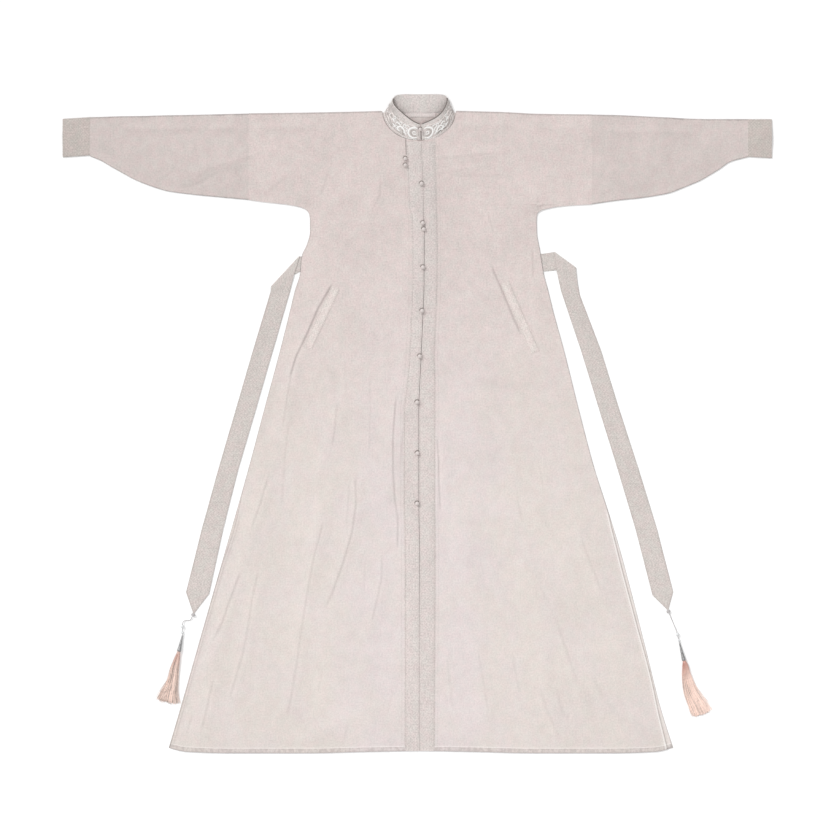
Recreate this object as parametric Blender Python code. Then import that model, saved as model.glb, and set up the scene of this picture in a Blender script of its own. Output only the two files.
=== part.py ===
"""A long front-opening robe with a standing collar, laid face up on a flat surface.

Every piece that is cut and sewn is an object of its own: the back, two fronts, two sleeves,
two cuffs, the collar, two front bands, two pocket welts and two ties, with buttons, loops and
beaded tassels.  One layer of cloth is a wall of constant thickness.  The back lies flat on the
surface, the fronts lie on the back, and what is sewn on a front is made from its points,
moved out.

Sizes are millimetres.  "across" runs from the centre line towards +X, the wearer's left;
"reach" is the distance from the centre line on either side; "drop" is the distance below the
line of the shoulders, so it runs towards -Y; "up" is the height above the surface.
"""
import math
from typing import NamedTuple, Sequence

import bmesh
import bpy
import numpy as np
from mathutils import Matrix, Vector
from mathutils.bvhtree import BVHTree

# ---------------------------------------------------------------- driving sizes
MM = 0.001
WALL = 1.2            # one layer of the main cloth
TRIM_WALL = 1.0       # one layer of the trim cloth
GAP = 0.3             # between two pieces that are sewn or lie together
CROWN = 2.2           # how far the upper layer stands off the lower one, away from the edges
CROWN_EDGE = 28.0     # distance from an edge over which it does so
CENTRE_GAP = 0.7      # half of the gap between the two fronts

JOIN_REACH = {-1: 369.0, 1: 366.0}      # seam between the body and the sleeve
CUFF_END = {-1: 767.0, 1: 751.0}
UNDERARM_DROP = 200.0     # above it the side of a panel is the sleeve's join
UNDERARM_END = 231.0      # below it the underarm's curve is the side edge
SHOULDER_FADES = 110.0    # drop by which the rows no longer follow the shoulder
HEM_DROP = 1366.0
HEM_LIFT = 6.0        # how loosely the upper layer lies at the hem
HEM_LOWEST = 1372.0
COLLAR_TOP = 38.0     # how far the back of the collar lies above the shoulder line

NECK_CENTRE = -4.0    # across
NECK_HALF = 79.0
NECK_DEPTH = 62.5
BACK_NECK_DROP = 1.5
BACK_NECK_REACH = 103.0

# The origin is the middle of the robe's outline, on the surface that it lies on.
SHIFT_X = (CUFF_END[-1] - CUFF_END[1]) / 2
SHIFT_Y = (HEM_LOWEST - COLLAR_TOP) / 2

SIDE_NAME = {-1: "right", 1: "left"}    # the wearer's sides


class Edge(NamedTuple):
    """One point of a side edge of the body."""
    drop: float
    reach: float


SIDE_EDGE = {
    -1: (Edge(187.5, 369.0), Edge(192.5, 332.0), Edge(197, 290), Edge(203, 259), Edge(208, 247),
         Edge(218, 239.5), Edge(231, 237.5), Edge(257, 237.5), Edge(283, 244), Edge(308, 255),
         Edge(347, 259), Edge(381, 269.5), Edge(424, 280), Edge(510, 301.5), Edge(638, 336),
         Edge(766, 370), Edge(895, 406.5), Edge(1023, 443), Edge(1151, 479.5),
         Edge(1280, 515.5), Edge(HEM_DROP, 540)),
    1: (Edge(197, 366), Edge(201, 300), Edge(205, 277), Edge(211, 256), Edge(218, 249),
        Edge(231, 247.5), Edge(257, 248), Edge(295, 254.5), Edge(347, 263), Edge(381, 272),
        Edge(424, 282.5), Edge(510, 306), Edge(638, 338), Edge(766, 372), Edge(852, 400),
        Edge(937, 426), Edge(1023, 449), Edge(1151, 481.5), Edge(1280, 513.5),
        Edge(HEM_DROP, 540)),
}


class PerSide(NamedTuple):
    """A value that differs between the wearer's right and left, at one place."""
    at: float
    right: float
    left: float


# Drop of the shoulder fold, by reach.
SHOULDER = (PerSide(70, -2.5, -2.5), PerSide(170, 0, 0), PerSide(255, 1.5, 4),
            PerSide(370, 3, 5.3))
# How far the front's edge lies inside the back's along the side slits, by drop.
SLIT_INSET = (PerSide(800, 0.3, 0.3), PerSide(852, 4, 1), PerSide(895, 6, 5),
              PerSide(937, 4, 8), PerSide(980, 1.5, 10), PerSide(1150, 1.5, 9),
              PerSide(HEM_DROP, 2, 7))
# Width of the centre front bands, by drop.
BAND_WIDTH = (PerSide(60, 32, 30), PerSide(200, 33, 29), PerSide(225, 27, 29),
              PerSide(510, 26, 29), PerSide(590, 29, 34), PerSide(640, 33, 35),
              PerSide(HEM_DROP, 32, 33))


class Along(NamedTuple):
    """A value at one place."""
    at: float
    value: float


# The centre line wanders a little: across, by drop.
CENTRE_LINE = (Along(0, 0), Along(60, 0.5), Along(130, 3.5), Along(200, 5.5), Along(280, 7),
               Along(370, 6.5), Along(450, 3.5), Along(550, -1), Along(640, -4.5),
               Along(830, -4.5), Along(940, -3), Along(HEM_DROP, -3.2))
# Drop of the hem, by the fraction of the half width.
HEM_LINE = (Along(0, 1367), Along(0.2, 1369), Along(0.45, HEM_LOWEST), Along(0.75, HEM_LOWEST),
            Along(0.93, 1369), Along(1, 1361))
HEM_STARTS = 1100.0


class SleeveRow(NamedTuple):
    """One section across a sleeve: the drops of its folded top and sewn bottom edges."""
    reach: float
    top: float
    bottom: float


SLEEVE = {
    -1: (SleeveRow(369, 3, 187.5), SleeveRow(430, 4.5, 182), SleeveRow(473, 5.5, 178),
         SleeveRow(516, 6.4, 173), SleeveRow(543, 6.8, 169), SleeveRow(566, 7.4, 162.5),
         SleeveRow(590, 8.2, 154), SleeveRow(614, 8.6, 144), SleeveRow(638, 8.8, 131),
         SleeveRow(663, 9.4, 117), SleeveRow(687, 10.4, 103), SleeveRow(708.5, 10.8, 94.5)),
    1: (SleeveRow(366, 5.3, 197), SleeveRow(426, 6.6, 188.5), SleeveRow(469, 8.6, 184),
        SleeveRow(511, 10.7, 177.6), SleeveRow(533, 11.5, 173), SleeveRow(554, 13, 165),
        SleeveRow(576, 14, 156), SleeveRow(597, 14.6, 147), SleeveRow(618, 15, 135),
        SleeveRow(640, 15, 121.5), SleeveRow(661, 15, 107), SleeveRow(700, 15, 96)),
}
CUFF = {
    -1: (SleeveRow(708.5, 10.6, 92.5), SleeveRow(737, 12.4, 94.5), SleeveRow(767, 14, 96.5)),
    1: (SleeveRow(700, 15, 95.5), SleeveRow(725, 15, 97), SleeveRow(751, 15, 98.5)),
}
TUBE_HEIGHT = 3.0     # of a flattened sleeve at its edges
CUFF_HEIGHT = 3.6
CUFF_WALL = 1.4
TUBE_COLUMNS = 8


class Crease(NamedTuple):
    """A soft ridge between two points of the upper layer."""
    across: float
    drop: float
    to_across: float
    to_drop: float
    half_width: float
    rise: float


CREASES = (
    # wearer's right of the skirt
    Crease(-262, 520, -296, 680, 15, 4.0), Crease(-173, 627, -212, 751, 17, 3.5),
    Crease(-332, 820, -362, 901, 15, 4.0), Crease(-385, 978, -450, 1179, 19, 5.0),
    Crease(-345, 1006, -400, 1260, 20, 4.5), Crease(-212, 852, -285, 1275, 21, 6.0),
    Crease(-139, 852, -185, 1001, 19, 4.0), Crease(-83, 976, -107, 1098, 19, 4.0),
    Crease(-60, 646, -66, 811, 14, 4.0), Crease(-440, 1222, -466, 1329, 17, 4.0),
    Crease(-250, 1345, -173, 1310, 19, 3.5), Crease(-120, 1180, -128, 1330, 24, 3.0),
    # wearer's left of the skirt
    Crease(46, 700, 52, 800, 14, 4.0), Crease(119, 1130, 142, 1290, 18, 5.0),
    Crease(323, 1200, 372, 1330, 20, 6.0), Crease(257, 1200, 297, 1340, 19, 4.0),
    Crease(347, 1170, 390, 1262, 17, 4.0), Crease(335, 890, 385, 1020, 21, 4.5),
    Crease(218, 940, 264, 1070, 23, 4.5), Crease(184, 690, 197, 770, 16, 3.5),
    Crease(149, 330, 196, 420, 13, 3.5), Crease(90, 860, 104, 1010, 22, 3.5),
    Crease(60, 520, 190, 545, 24, 2.5), Crease(80, 600, 225, 640, 24, 2.5),
    # chest and upper sleeves
    Crease(45, 107, 163, 86, 15, 3.0), Crease(60, 141, 175, 146, 18, 3.0),
    Crease(225, 205, 148, 156, 17, 4.0), Crease(-92, 160, -107, 222, 15, 3.0),
    Crease(-216, 212, -145, 165, 17, 4.0), Crease(-120, 240, -60, 236, 22, 2.5),
    # sleeves
    Crease(-513, 150, -458, 120, 17, 4.5), Crease(-458, 120, -323, 81, 17, 4.5),
    Crease(-340, 166, -295, 140, 15, 3.5), Crease(355, 122, 402, 128, 14, 3.0),
    Crease(475, 160, 392, 103, 18, 3.5), Crease(600, 110, 520, 84, 18, 3.0),
    Crease(-640, 92, -560, 66, 18, 3.0),
)


class CollarRow(NamedTuple):
    """One line up the collar, from its seam to its rim."""
    seam_across: float
    seam_drop: float
    rim_across: float
    rim_drop: float
    seam_up: float
    rim_up: float


COLLAR_WALL = 1.5
COLLAR_BULGE = 1.2    # how far it bows out, half way from seam to rim
# From the centre front round the back of the neck to the centre front again.
COLLAR = (
    CollarRow(-0.6, 60.2, -1.6, 28.8, 2.2, 14.5), CollarRow(-25, 57.6, -15.5, 23.0, 2.2, 15.5),
    CollarRow(-47, 49.0, -30.5, 12.6, 2.2, 16.5), CollarRow(-66, 34.0, -44.5, 0.5, 2.2, 16.5),
    CollarRow(-77, 14.0, -55.5, -10.5, 2.1, 15.5), CollarRow(-78.2, 1.2, -60.6, -22.0, 1.6, 11.0),
    CollarRow(-70, -1.8, -54.5, -34.0, 0.8, 4.6), CollarRow(-40, -0.3, -40, -37.8, 0.8, 2.6),
    CollarRow(-2, 0.4, -1, -37.9, 0.8, 2.2), CollarRow(35, -0.3, 38, -37.8, 0.8, 2.6),
    CollarRow(61, -1.8, 51.5, -35.0, 0.8, 4.4), CollarRow(70.0, 1.0, 56.8, -26.5, 1.6, 9.5),
    CollarRow(69.5, 14.0, 53.8, -12.0, 2.1, 15.0), CollarRow(59, 34.0, 46, 2.0, 2.2, 17.0),
    CollarRow(40, 49.2, 32.5, 14.0, 2.2, 16.5), CollarRow(20, 57.5, 16.5, 22.3, 2.2, 15.5),
    CollarRow(1.6, 60.2, 0.4, 28.8, 2.2, 14.5),
)
COLLAR_STEPS = 3      # sections between two rows
COLLAR_LINES = 5      # points from seam to rim


class Welt(NamedTuple):
    """A slanted pocket welt: the middles of its short ends, as reach and drop."""
    top_reach: float
    top_drop: float
    low_reach: float
    low_drop: float


WELT = {-1: Welt(181.8, 374.7, 242.9, 506.5), 1: Welt(178.5, 365.0, 245.0, 514.5)}
WELT_WIDTH = 19.5
WELT_ROWS = 7
WELT_REACH = 11.0     # a welt rests on the highest cloth this near


class TieRow(NamedTuple):
    """One section across a tie, from its inner to its outer edge."""
    inner_reach: float
    inner_drop: float
    outer_reach: float
    outer_drop: float


# The tie leaves the side seam, is folded over on the second row, and runs down to its point.
TIE = {
    -1: (TieRow(255.6, 309, 259.0, 341), TieRow(260, 309, 320.5, 374), TieRow(272, 349, 322, 385),
         TieRow(280, 383, 325, 394), TieRow(316.7, 509, 359.5, 509),
         TieRow(354, 638, 397, 638), TieRow(391.6, 766, 434.4, 766),
         TieRow(424, 895, 470, 895), TieRow(453.7, 1031.5, 503, 1028),
         TieRow(485.4, 1073, 487.8, 1073)),
    1: (TieRow(256.4, 304, 262.5, 341), TieRow(284.6, 299.6, 331.7, 334), TieRow(291, 342, 335, 366),
        TieRow(300, 383, 341, 394), TieRow(342.4, 509, 385, 509),
        TieRow(382, 638, 425, 638), TieRow(421.6, 766, 466.5, 766),
        TieRow(460, 895, 506, 895), TieRow(495.8, 1034.5, 540, 1027),
        TieRow(527.4, 1065.5, 529.8, 1065.5)),
}
TIE_FOLD_ROW = 1
TIE_FOLD_STEPS = 4


class Fastening(NamedTuple):
    """A button: its name, its place and its diameter."""
    name: str
    across: float
    drop: float
    diameter: float


FASTENINGS = (
    Fastening("neck", -1.5, 39.0, 8.0),
    Fastening("side_a", -33.5, 100.5, 8.5), Fastening("side_b", -33.5, 114.5, 8.5),
    Fastening("chest", 1.4, 154.0, 9.5),
    Fastening("upper_a", 4.1, 238.0, 9.0), Fastening("upper_b", 5.8, 251.5, 9.0),
    Fastening("waist_a", 4.1, 332.8, 9.5), Fastening("waist_b", 2.4, 425.9, 9.5),
    Fastening("hip_a", -2.6, 523.2, 9.5), Fastening("hip_b", -8.1, 621.5, 9.5),
    Fastening("skirt_a", -7.5, 730.4, 9.5), Fastening("skirt_b", -8.1, 838.0, 9.5),
)
LOOP_WIRE = 1.1       # radius of a button loop's cord
LOOP_FROM, LOOP_TO = math.radians(15), math.radians(205)
LOOP_POINTS = 7
LOOP_REACH = 2.4      # a loop rests on the highest cloth this near
KNOB_FOOT = 0.55      # height of a knob's middle over its foot, in radii
KNOB_SIDES, KNOB_RINGS = 9, 6


class Pendant(NamedTuple):
    """The beads and tassel on a tie's point, as (across, drop) or (across, drop, up) places."""
    knot: tuple
    way: tuple
    bead_large: tuple
    bead_small: tuple
    cap_top: tuple
    cap_base: tuple
    tassel_end: tuple


PENDANT = {
    -1: Pendant(knot=(-487.5, 1076.3), way=((-493.5, 1086.8, 2.0), (-499, 1088.6, 1.2),
                                            (-505, 1088.6, 1.6), (-509.2, 1091.8, 3.0)),
                bead_large=(-510.6, 1101), bead_small=(-510.6, 1114),
                cap_top=(-510.2, 1119.6), cap_base=(-518.0, 1154.3), tassel_end=(-541.5, 1261)),
    1: Pendant(knot=(529.6, 1068.8), way=((535.2, 1082.5, 1.8), (539.6, 1092.5, 1.1),
                                       (543.6, 1102.5, 1.8), (546.2, 1109.5, 3.0)),
               bead_large=(548.6, 1118), bead_small=(551.9, 1130.8),
               cap_top=(553.4, 1136.2), cap_base=(562.8, 1173.8), tassel_end=(601.5, 1287)),
}
CORD_RADIUS = 0.9
CORD_POINTS = 24
BEAD_HOLE = 1.35
BEAD_LARGE, BEAD_SMALL = 4.0, 3.0
KNOT_RADIUS = 4.4
KNOT_SQUASH = 0.8         # a knot's height over its length
CAP_TIP, CAP_MOUTH = 1.3, 4.2
CAP_TIP_UP = 2.8
# Outline of the cap, as shares of its length and radii.
CAP_OUTLINE = ((0, CAP_TIP), (0.12, 1.25 * CAP_TIP), (0.55, 0.62 * CAP_MOUTH),
               (0.93, 0.96 * CAP_MOUTH), (1, 0.9 * CAP_MOUTH))
HEAD_RADIUS, HEAD_LENGTH = 3.6, 6.0
LOCKS_PER_LAYER = 11
LOCK_LAYERS = 3
ROOT_STEP, TIP_STEP = 1.5, 1.45     # height from one layer to the next
ROOT_INSET = 3.0          # how deep the roots sit in the head
LOCK_ROOT = 0.36          # width of a lock at its root
LOCK_COVER = 0.62         # share of a layer's width that its locks cover
LOCK_STEPS = 7
TIP_LOWEST = 0.4


class Flare(NamedTuple):
    """A section across a tassel: its share of the length, half its width, its bow aside."""

    share: float
    half: float
    bow: float


FLARE = {
    -1: (Flare(0, 2.3, 0), Flare(0.1, 5.4, -0.3), Flare(0.33, 8.8, -1.0), Flare(0.66, 10.8, 0),
         Flare(0.86, 17.5, -1.4), Flare(1, 22.0, 0)),
    1: (Flare(0, 2.3, 0), Flare(0.07, 6.2, -1.0), Flare(0.22, 9.3, -4.7), Flare(0.53, 14.4, -8.0),
        Flare(0.85, 19.0, -2.9), Flare(1, 21.5, 0)),
}

ROW_STEP = 52.0       # largest distance between two rows of a front
FRONT_COLUMNS = 11    # columns outside the band
BACK_COLUMNS = 9


def srgb(red: int, green: int, blue: int) -> tuple:
    """Scene-linear colour of an 8-bit display colour."""
    return tuple(((v / 255 + 0.055) / 1.055) ** 2.4 for v in (red, green, blue)) + (1.0,)


def make_material(name: str, colour: tuple, roughness: float, metallic: float = 0.0):
    """A plain Principled material."""
    material = bpy.data.materials.new(name)
    material.use_nodes = True
    shader = material.node_tree.nodes["Principled BSDF"]
    shader.inputs["Base Color"].default_value = colour
    shader.inputs["Roughness"].default_value = roughness
    shader.inputs["Metallic"].default_value = metallic
    return material


# ---------------------------------------------------------------- tables and fields
def through(rows: Sequence[Along], at) -> np.ndarray:
    """Read a two-column table at any place, in straight runs between its rows."""
    return np.interp(at, [row.at for row in rows], [row.value for row in rows])


def per_side(rows: Sequence[PerSide], side: int, at) -> np.ndarray:
    """Read one side's column of a table."""
    return np.interp(at, [r.at for r in rows], [r.left if side > 0 else r.right for r in rows])


def smooth_through(knots: np.ndarray, values: np.ndarray, at: np.ndarray) -> np.ndarray:
    """Cubic curve through the rows of values, whose slopes are those of the neighbours."""
    slopes = np.gradient(values, knots, axis=0)
    i = np.clip(np.searchsorted(knots, at, side="right") - 1, 0, len(knots) - 2)
    step = (knots[i + 1] - knots[i])[:, None]
    t = (at - knots[i])[:, None] / step
    return ((2 * t**3 - 3 * t**2 + 1) * values[i] + (t**3 - 2 * t**2 + t) * step * slopes[i]
            + (3 * t**2 - 2 * t**3) * values[i + 1] + (t**3 - t**2) * step * slopes[i + 1])


def side_reach(side: int, drop) -> np.ndarray:
    """Reach of the body's side edge; above the table it is the sleeve's join."""
    rows = SIDE_EDGE[side]
    return np.interp(drop, [row.drop for row in rows], [row.reach for row in rows])


def centre_across(drop) -> np.ndarray:
    """Where the centre line runs."""
    return through(CENTRE_LINE, drop)


def neck_across(side: int, drop) -> np.ndarray:
    """Across of the front neck edge, an ellipse that ends at the centre line."""
    ratio = np.clip(drop / NECK_DEPTH, 0, 1)
    ellipse = NECK_CENTRE + side * NECK_HALF * np.sqrt(1 - ratio**2)
    return np.where(drop < NECK_DEPTH, ellipse, centre_across(drop) + side * CENTRE_GAP)


def crease_height(across: np.ndarray, drop: np.ndarray) -> np.ndarray:
    """Sum of soft ridges: a bell across each crease, fading past its two ends."""
    total = np.zeros_like(across)
    for crease in CREASES:
        run = np.array((crease.to_across - crease.across, crease.to_drop - crease.drop))
        length = np.hypot(*run)
        unit = run / length
        along = (across - crease.across) * unit[0] + (drop - crease.drop) * unit[1]
        aside = (drop - crease.drop) * unit[0] - (across - crease.across) * unit[1]
        past = np.maximum(np.maximum(-along, along - length), 0) / crease.half_width
        total += crease.rise * np.exp(-(aside / crease.half_width)**2 - 0.5 * past**2)
    return total


def stand_off(across: np.ndarray, drop: np.ndarray, edge: np.ndarray) -> np.ndarray:
    """Height of the upper layer over its lowest place, zero along the sewn edges."""
    inside = 1 - np.exp(-(np.maximum(edge, 0) / CROWN_EDGE)**2)
    return inside * (CROWN + crease_height(across, drop))


# ---------------------------------------------------------------- meshes
def to_world(points: np.ndarray) -> np.ndarray:
    """Turn (across, drop, up) into metres about the origin."""
    across, drop, up = points[..., 0], points[..., 1], points[..., 2]
    return np.stack((across + SHIFT_X, SHIFT_Y - drop, up), axis=-1) * MM


def add_mesh(name: str, points: np.ndarray, faces: list, material, angle: float = 50.0):
    """Make an object of points in (across, drop, up) and shade it smooth up to an angle."""
    mesh = bpy.data.meshes.new(name)
    mesh.from_pydata(to_world(points.reshape(-1, 3)).tolist(), [], faces)
    bm = bmesh.new()
    bm.from_mesh(mesh)
    bmesh.ops.recalc_face_normals(bm, faces=bm.faces)
    bm.to_mesh(mesh)
    bm.free()
    return finish_object(name, mesh, material, angle)


def finish_object(name: str, mesh, material, angle: float = 50.0):
    """Link a mesh to the scene as a named, shaded object."""
    mesh.shade_smooth()
    mesh.set_sharp_from_angle(angle=math.radians(angle))
    mesh.materials.append(material)
    item = bpy.data.objects.new(name, mesh)
    bpy.context.scene.collection.objects.link(item)
    return item


def grid_faces(rows: int, columns: int, start: int = 0, closed: bool = False) -> list:
    """Quads of a grid whose points are numbered row by row."""
    faces = []
    for i in range(rows - 1):
        for j in range(columns if closed else columns - 1):
            k = (j + 1) % columns
            a, b = start + i * columns, start + (i + 1) * columns
            faces.append((a + j, a + k, b + k, b + j))
    return faces


def wall_between(name: str, lower: np.ndarray, upper: np.ndarray, material, angle: float = 50.0):
    """Closed wall between two sheets of points with the same rows and columns."""
    rows, columns = lower.shape[:2]
    count = rows * columns
    faces = grid_faces(rows, columns) + grid_faces(rows, columns, count)
    rim = [j for j in range(columns)]
    rim += [i * columns + columns - 1 for i in range(1, rows)]
    rim += [(rows - 1) * columns + j for j in range(columns - 2, -1, -1)]
    rim += [i * columns for i in range(rows - 2, 0, -1)]
    for a, b in zip(rim, rim[1:] + rim[:1]):
        faces.append((a, b, b + count, a + count))
    return add_mesh(name, np.concatenate((lower.reshape(-1, 3), upper.reshape(-1, 3))), faces,
                    material, angle)


def tube_between(name: str, outer: np.ndarray, inner: np.ndarray, material):
    """Closed wall of an open-ended tube between two sets of rings."""
    rows, columns = outer.shape[:2]
    count = rows * columns
    faces = grid_faces(rows, columns, closed=True) + grid_faces(rows, columns, count, closed=True)
    for first in (0, (rows - 1) * columns):
        for j in range(columns):
            k = (j + 1) % columns
            faces.append((first + j, first + k, first + k + count, first + j + count))
    return add_mesh(name, np.concatenate((outer.reshape(-1, 3), inner.reshape(-1, 3))), faces,
                    material)


def lifted(sheet: np.ndarray, by: float) -> np.ndarray:
    """The same points, moved up."""
    return sheet + np.array((0.0, 0.0, by))


# ---------------------------------------------------------------- body
def row_drops(sides: Sequence[int]) -> list:
    """Drops of a panel's rows: close at the neck and underarm, evenly spaced down the skirt."""
    drops = [0, 14, 27, 38, 47, 54, 58.5, 61.5, 64, 90, 120, 155]
    drops += [row.drop for side in sides for row in SIDE_EDGE[side] if row.drop < 430]
    drops = sorted(set(drops))
    count = math.ceil((HEM_DROP - drops[-1]) / ROW_STEP)
    start = drops[-1]
    return drops + [start + (HEM_DROP - start) * (i + 1) / count for i in range(count)]


def bend_rows(side: int, across: np.ndarray, nominal: np.ndarray, reach: np.ndarray) -> np.ndarray:
    """Drop of each point: rows follow the shoulder fold at the top and the hem at the foot."""
    away = np.abs(across)
    at_top = np.clip(1 - nominal / SHOULDER_FADES, 0, 1) * per_side(SHOULDER, side, away)
    near_hem = np.clip((nominal - HEM_STARTS) / (HEM_DROP - HEM_STARTS), 0, 1)**2
    return nominal + at_top + near_hem * (through(HEM_LINE, away / reach) - HEM_DROP)


def outer_reach(side: int, drops: np.ndarray) -> np.ndarray:
    """Reach of a panel's outer edge: half a gap short of the sleeve, then the side edge."""
    edge = side_reach(side, drops)
    return np.where(drops < UNDERARM_DROP, np.minimum(edge, JOIN_REACH[side] - GAP / 2), edge)


def seam_margin(side: int, reach: np.ndarray, drop: np.ndarray, nominal: np.ndarray) -> np.ndarray:
    """Distance from the underarm seam and the side edge, which meet in a corner."""
    inset = per_side(SLIT_INSET, side, nominal)
    side_edge = side_reach(side, np.maximum(nominal, UNDERARM_END)) - inset
    curve = [row for row in reversed(SIDE_EDGE[side]) if row.drop <= UNDERARM_END]
    seam = np.interp(reach, [row.reach for row in curve], [row.drop for row in curve])
    return np.hypot(np.maximum(side_edge - reach, 0), np.maximum(seam - drop, 0))


def front_sheet(side: int) -> np.ndarray:
    """Under face of one front; its first three columns lie under the centre front band."""
    drops = np.array(row_drops((side,)))
    edge = side_reach(side, drops)
    outer = outer_reach(side, drops) - per_side(SLIT_INSET, side, drops)
    inner = neck_across(side, drops) * side
    width = per_side(BAND_WIDTH, side, drops)
    share = np.linspace(0, 1, FRONT_COLUMNS + 1)[1:]
    inside = inner[:, None] + width[:, None] * np.array((0, 0.5, 1))
    outside = inside[:, -1:] + (outer[:, None] - inside[:, -1:]) * share
    reach = np.concatenate((inside, outside), axis=1)
    across = reach * side
    drop = bend_rows(side, across, drops[:, None], edge[:, None])
    from_shoulder = drop - per_side(SHOULDER, side, reach)
    from_seam = seam_margin(side, reach, drop, drops[:, None])
    from_hem = HEM_LIFT + (HEM_DROP - drops)[:, None]
    margin = np.minimum(np.minimum(from_shoulder, from_seam), from_hem)
    up = WALL + GAP + stand_off(across, drop, margin)
    return np.stack((across, drop, up), axis=-1)


def make_front(side: int, material):
    """One front with the upper part of its sleeve."""
    sheet = front_sheet(side)
    return wall_between(f"front_{SIDE_NAME[side]}", sheet, lifted(sheet, WALL), material)


def make_back(material):
    """The back, flat on the surface, with the upper part of both sleeves."""
    drops = np.array(row_drops((-1, 1)))
    share = np.linspace(-1, 1, BACK_COLUMNS)
    halves = []
    for side in (-1, 1):
        across = share * outer_reach(side, drops)[:, None]
        drop = bend_rows(side, across, drops[:, None], side_reach(side, drops)[:, None])
        halves.append(np.stack((across, drop), axis=-1))
    across, drop = np.moveaxis(np.where(share[:, None] < 0, *halves), -1, 0)
    at_neck = (drops[:, None] == 0) & (np.abs(across) < BACK_NECK_REACH)
    drop = np.where(at_neck, BACK_NECK_DROP, drop)
    sheet = np.stack((across, drop, np.zeros_like(across)), axis=-1)
    return wall_between("back", sheet, lifted(sheet, WALL), material)


# ---------------------------------------------------------------- sleeves and cuffs
def flat_tube(name: str, side: int, rows: Sequence[SleeveRow], height: float, wall: float,
              material):
    """Flattened tube: flat below, creased above, folded at the top edge, sewn at the bottom."""
    columns = np.linspace(0, 1, TUBE_COLUMNS)
    outer, inner = [], []
    for row in rows:
        depth = row.bottom - row.top
        round_in = height / depth
        share = round_in + (1 - 2 * round_in) * columns
        drop = row.top + depth * share
        across = np.full_like(drop, side * row.reach)
        up = height + stand_off(across, drop, np.minimum(share, 1 - share) * depth - height)
        over = np.stack((across, drop, up), axis=-1)
        under = np.stack((across, drop, np.zeros_like(up)), axis=-1)
        ends = [np.array((side * row.reach, d, height / 2)) for d in (row.bottom, row.top)]
        outer.append(np.concatenate((over, ends[:1], under[::-1], ends[1:])))
        tucked = [ends[0] - (0, wall, 0), ends[1] + (0, wall, 0)]
        inner.append(np.concatenate((lifted(over, -wall), tucked[:1], lifted(under, wall)[::-1],
                                     tucked[1:])))
    return tube_between(name, np.array(outer), np.array(inner), material)


def inset_ends(rows: Sequence[SleeveRow]) -> list:
    """Take half of a seam's gap off each end of a run of sections."""
    first, last = rows[0], rows[-1]
    return [first._replace(reach=first.reach + GAP / 2), *rows[1:-1],
            last._replace(reach=last.reach - GAP / 2)]


def make_sleeve(side: int, material):
    """The lower sleeve, from the join to the cuff's seam."""
    return flat_tube(f"sleeve_{SIDE_NAME[side]}", side, inset_ends(SLEEVE[side]), TUBE_HEIGHT,
                     WALL, material)


def make_cuff(side: int, material):
    """The cuff, a double layer of trim cloth."""
    rows = inset_ends(CUFF[side])
    rows[-1] = CUFF[side][-1]
    return flat_tube(f"cuff_{SIDE_NAME[side]}", side, rows, CUFF_HEIGHT, CUFF_WALL, material)


# ---------------------------------------------------------------- collar
def collar_sheet() -> np.ndarray:
    """Middle surface of the collar: straight lines from the seam's curve to the rim's."""
    knots = np.arange(len(COLLAR), dtype=float)
    at = np.linspace(0, len(COLLAR) - 1, (len(COLLAR) - 1) * COLLAR_STEPS + 1)
    rows = smooth_through(knots, np.array(COLLAR), at)
    seam, rim = rows[:, (0, 1, 4)], rows[:, (2, 3, 5)]
    share = np.linspace(0, 1, COLLAR_LINES)[None, :, None]
    bulge = np.sin(share * math.pi) * np.array((0.0, 0.0, COLLAR_BULGE))
    return seam[:, None] * (1 - share) + rim[:, None] * share + bulge


def sheet_normals(sheet: np.ndarray) -> np.ndarray:
    """Unit normals of a grid of points, pointing out of the collar's ring."""
    along, up = np.gradient(sheet, axis=0), np.gradient(sheet, axis=1)
    normal = np.cross(along, up)
    return normal / np.linalg.norm(normal, axis=-1, keepdims=True)


def make_collar(material):
    """Standing collar, open at the centre front; its back lies flat above the shoulders."""
    sheet = collar_sheet()
    offset = sheet_normals(sheet) * COLLAR_WALL / 2
    lower, upper = sheet - offset, sheet + offset
    sink = np.minimum(lower[..., 2], upper[..., 2])
    lift = np.maximum(-sink, 0)[..., None] * np.array((0.0, 0.0, 1.0))
    return wall_between("collar", lower + lift, upper + lift, material)


# ---------------------------------------------------------------- pieces on the fronts
def make_band(side: int, material):
    """Centre front band: the front's first three columns, moved out."""
    sheet = front_sheet(side)[:, :3]
    first = row_drops((side,)).index(64)
    sheet = lifted(sheet[first:], WALL + GAP)
    return wall_between(f"band_{SIDE_NAME[side]}", sheet, lifted(sheet, TRIM_WALL), material)


def surface_of(item) -> BVHTree:
    """Search tree of an object's mesh, for finding what lies under a point."""
    bm = bmesh.new()
    bm.from_mesh(item.data)
    tree = BVHTree.FromBMesh(bm)
    bm.free()
    return tree


def top_of(trees: Sequence[BVHTree], across: float, drop: float, around: float) -> float:
    """Highest point, in millimetres, of the surfaces under a small square."""
    highest = 0.0
    for dx in np.linspace(-around, around, 5):
        for dy in np.linspace(-around, around, 5):
            start = Vector(to_world(np.array((across + dx, drop + dy, 100.0))).tolist())
            for tree in trees:
                hit = tree.ray_cast(start, Vector((0, 0, -1)))[0]
                if hit is not None:
                    highest = max(highest, hit.z / MM)
    return highest


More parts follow.
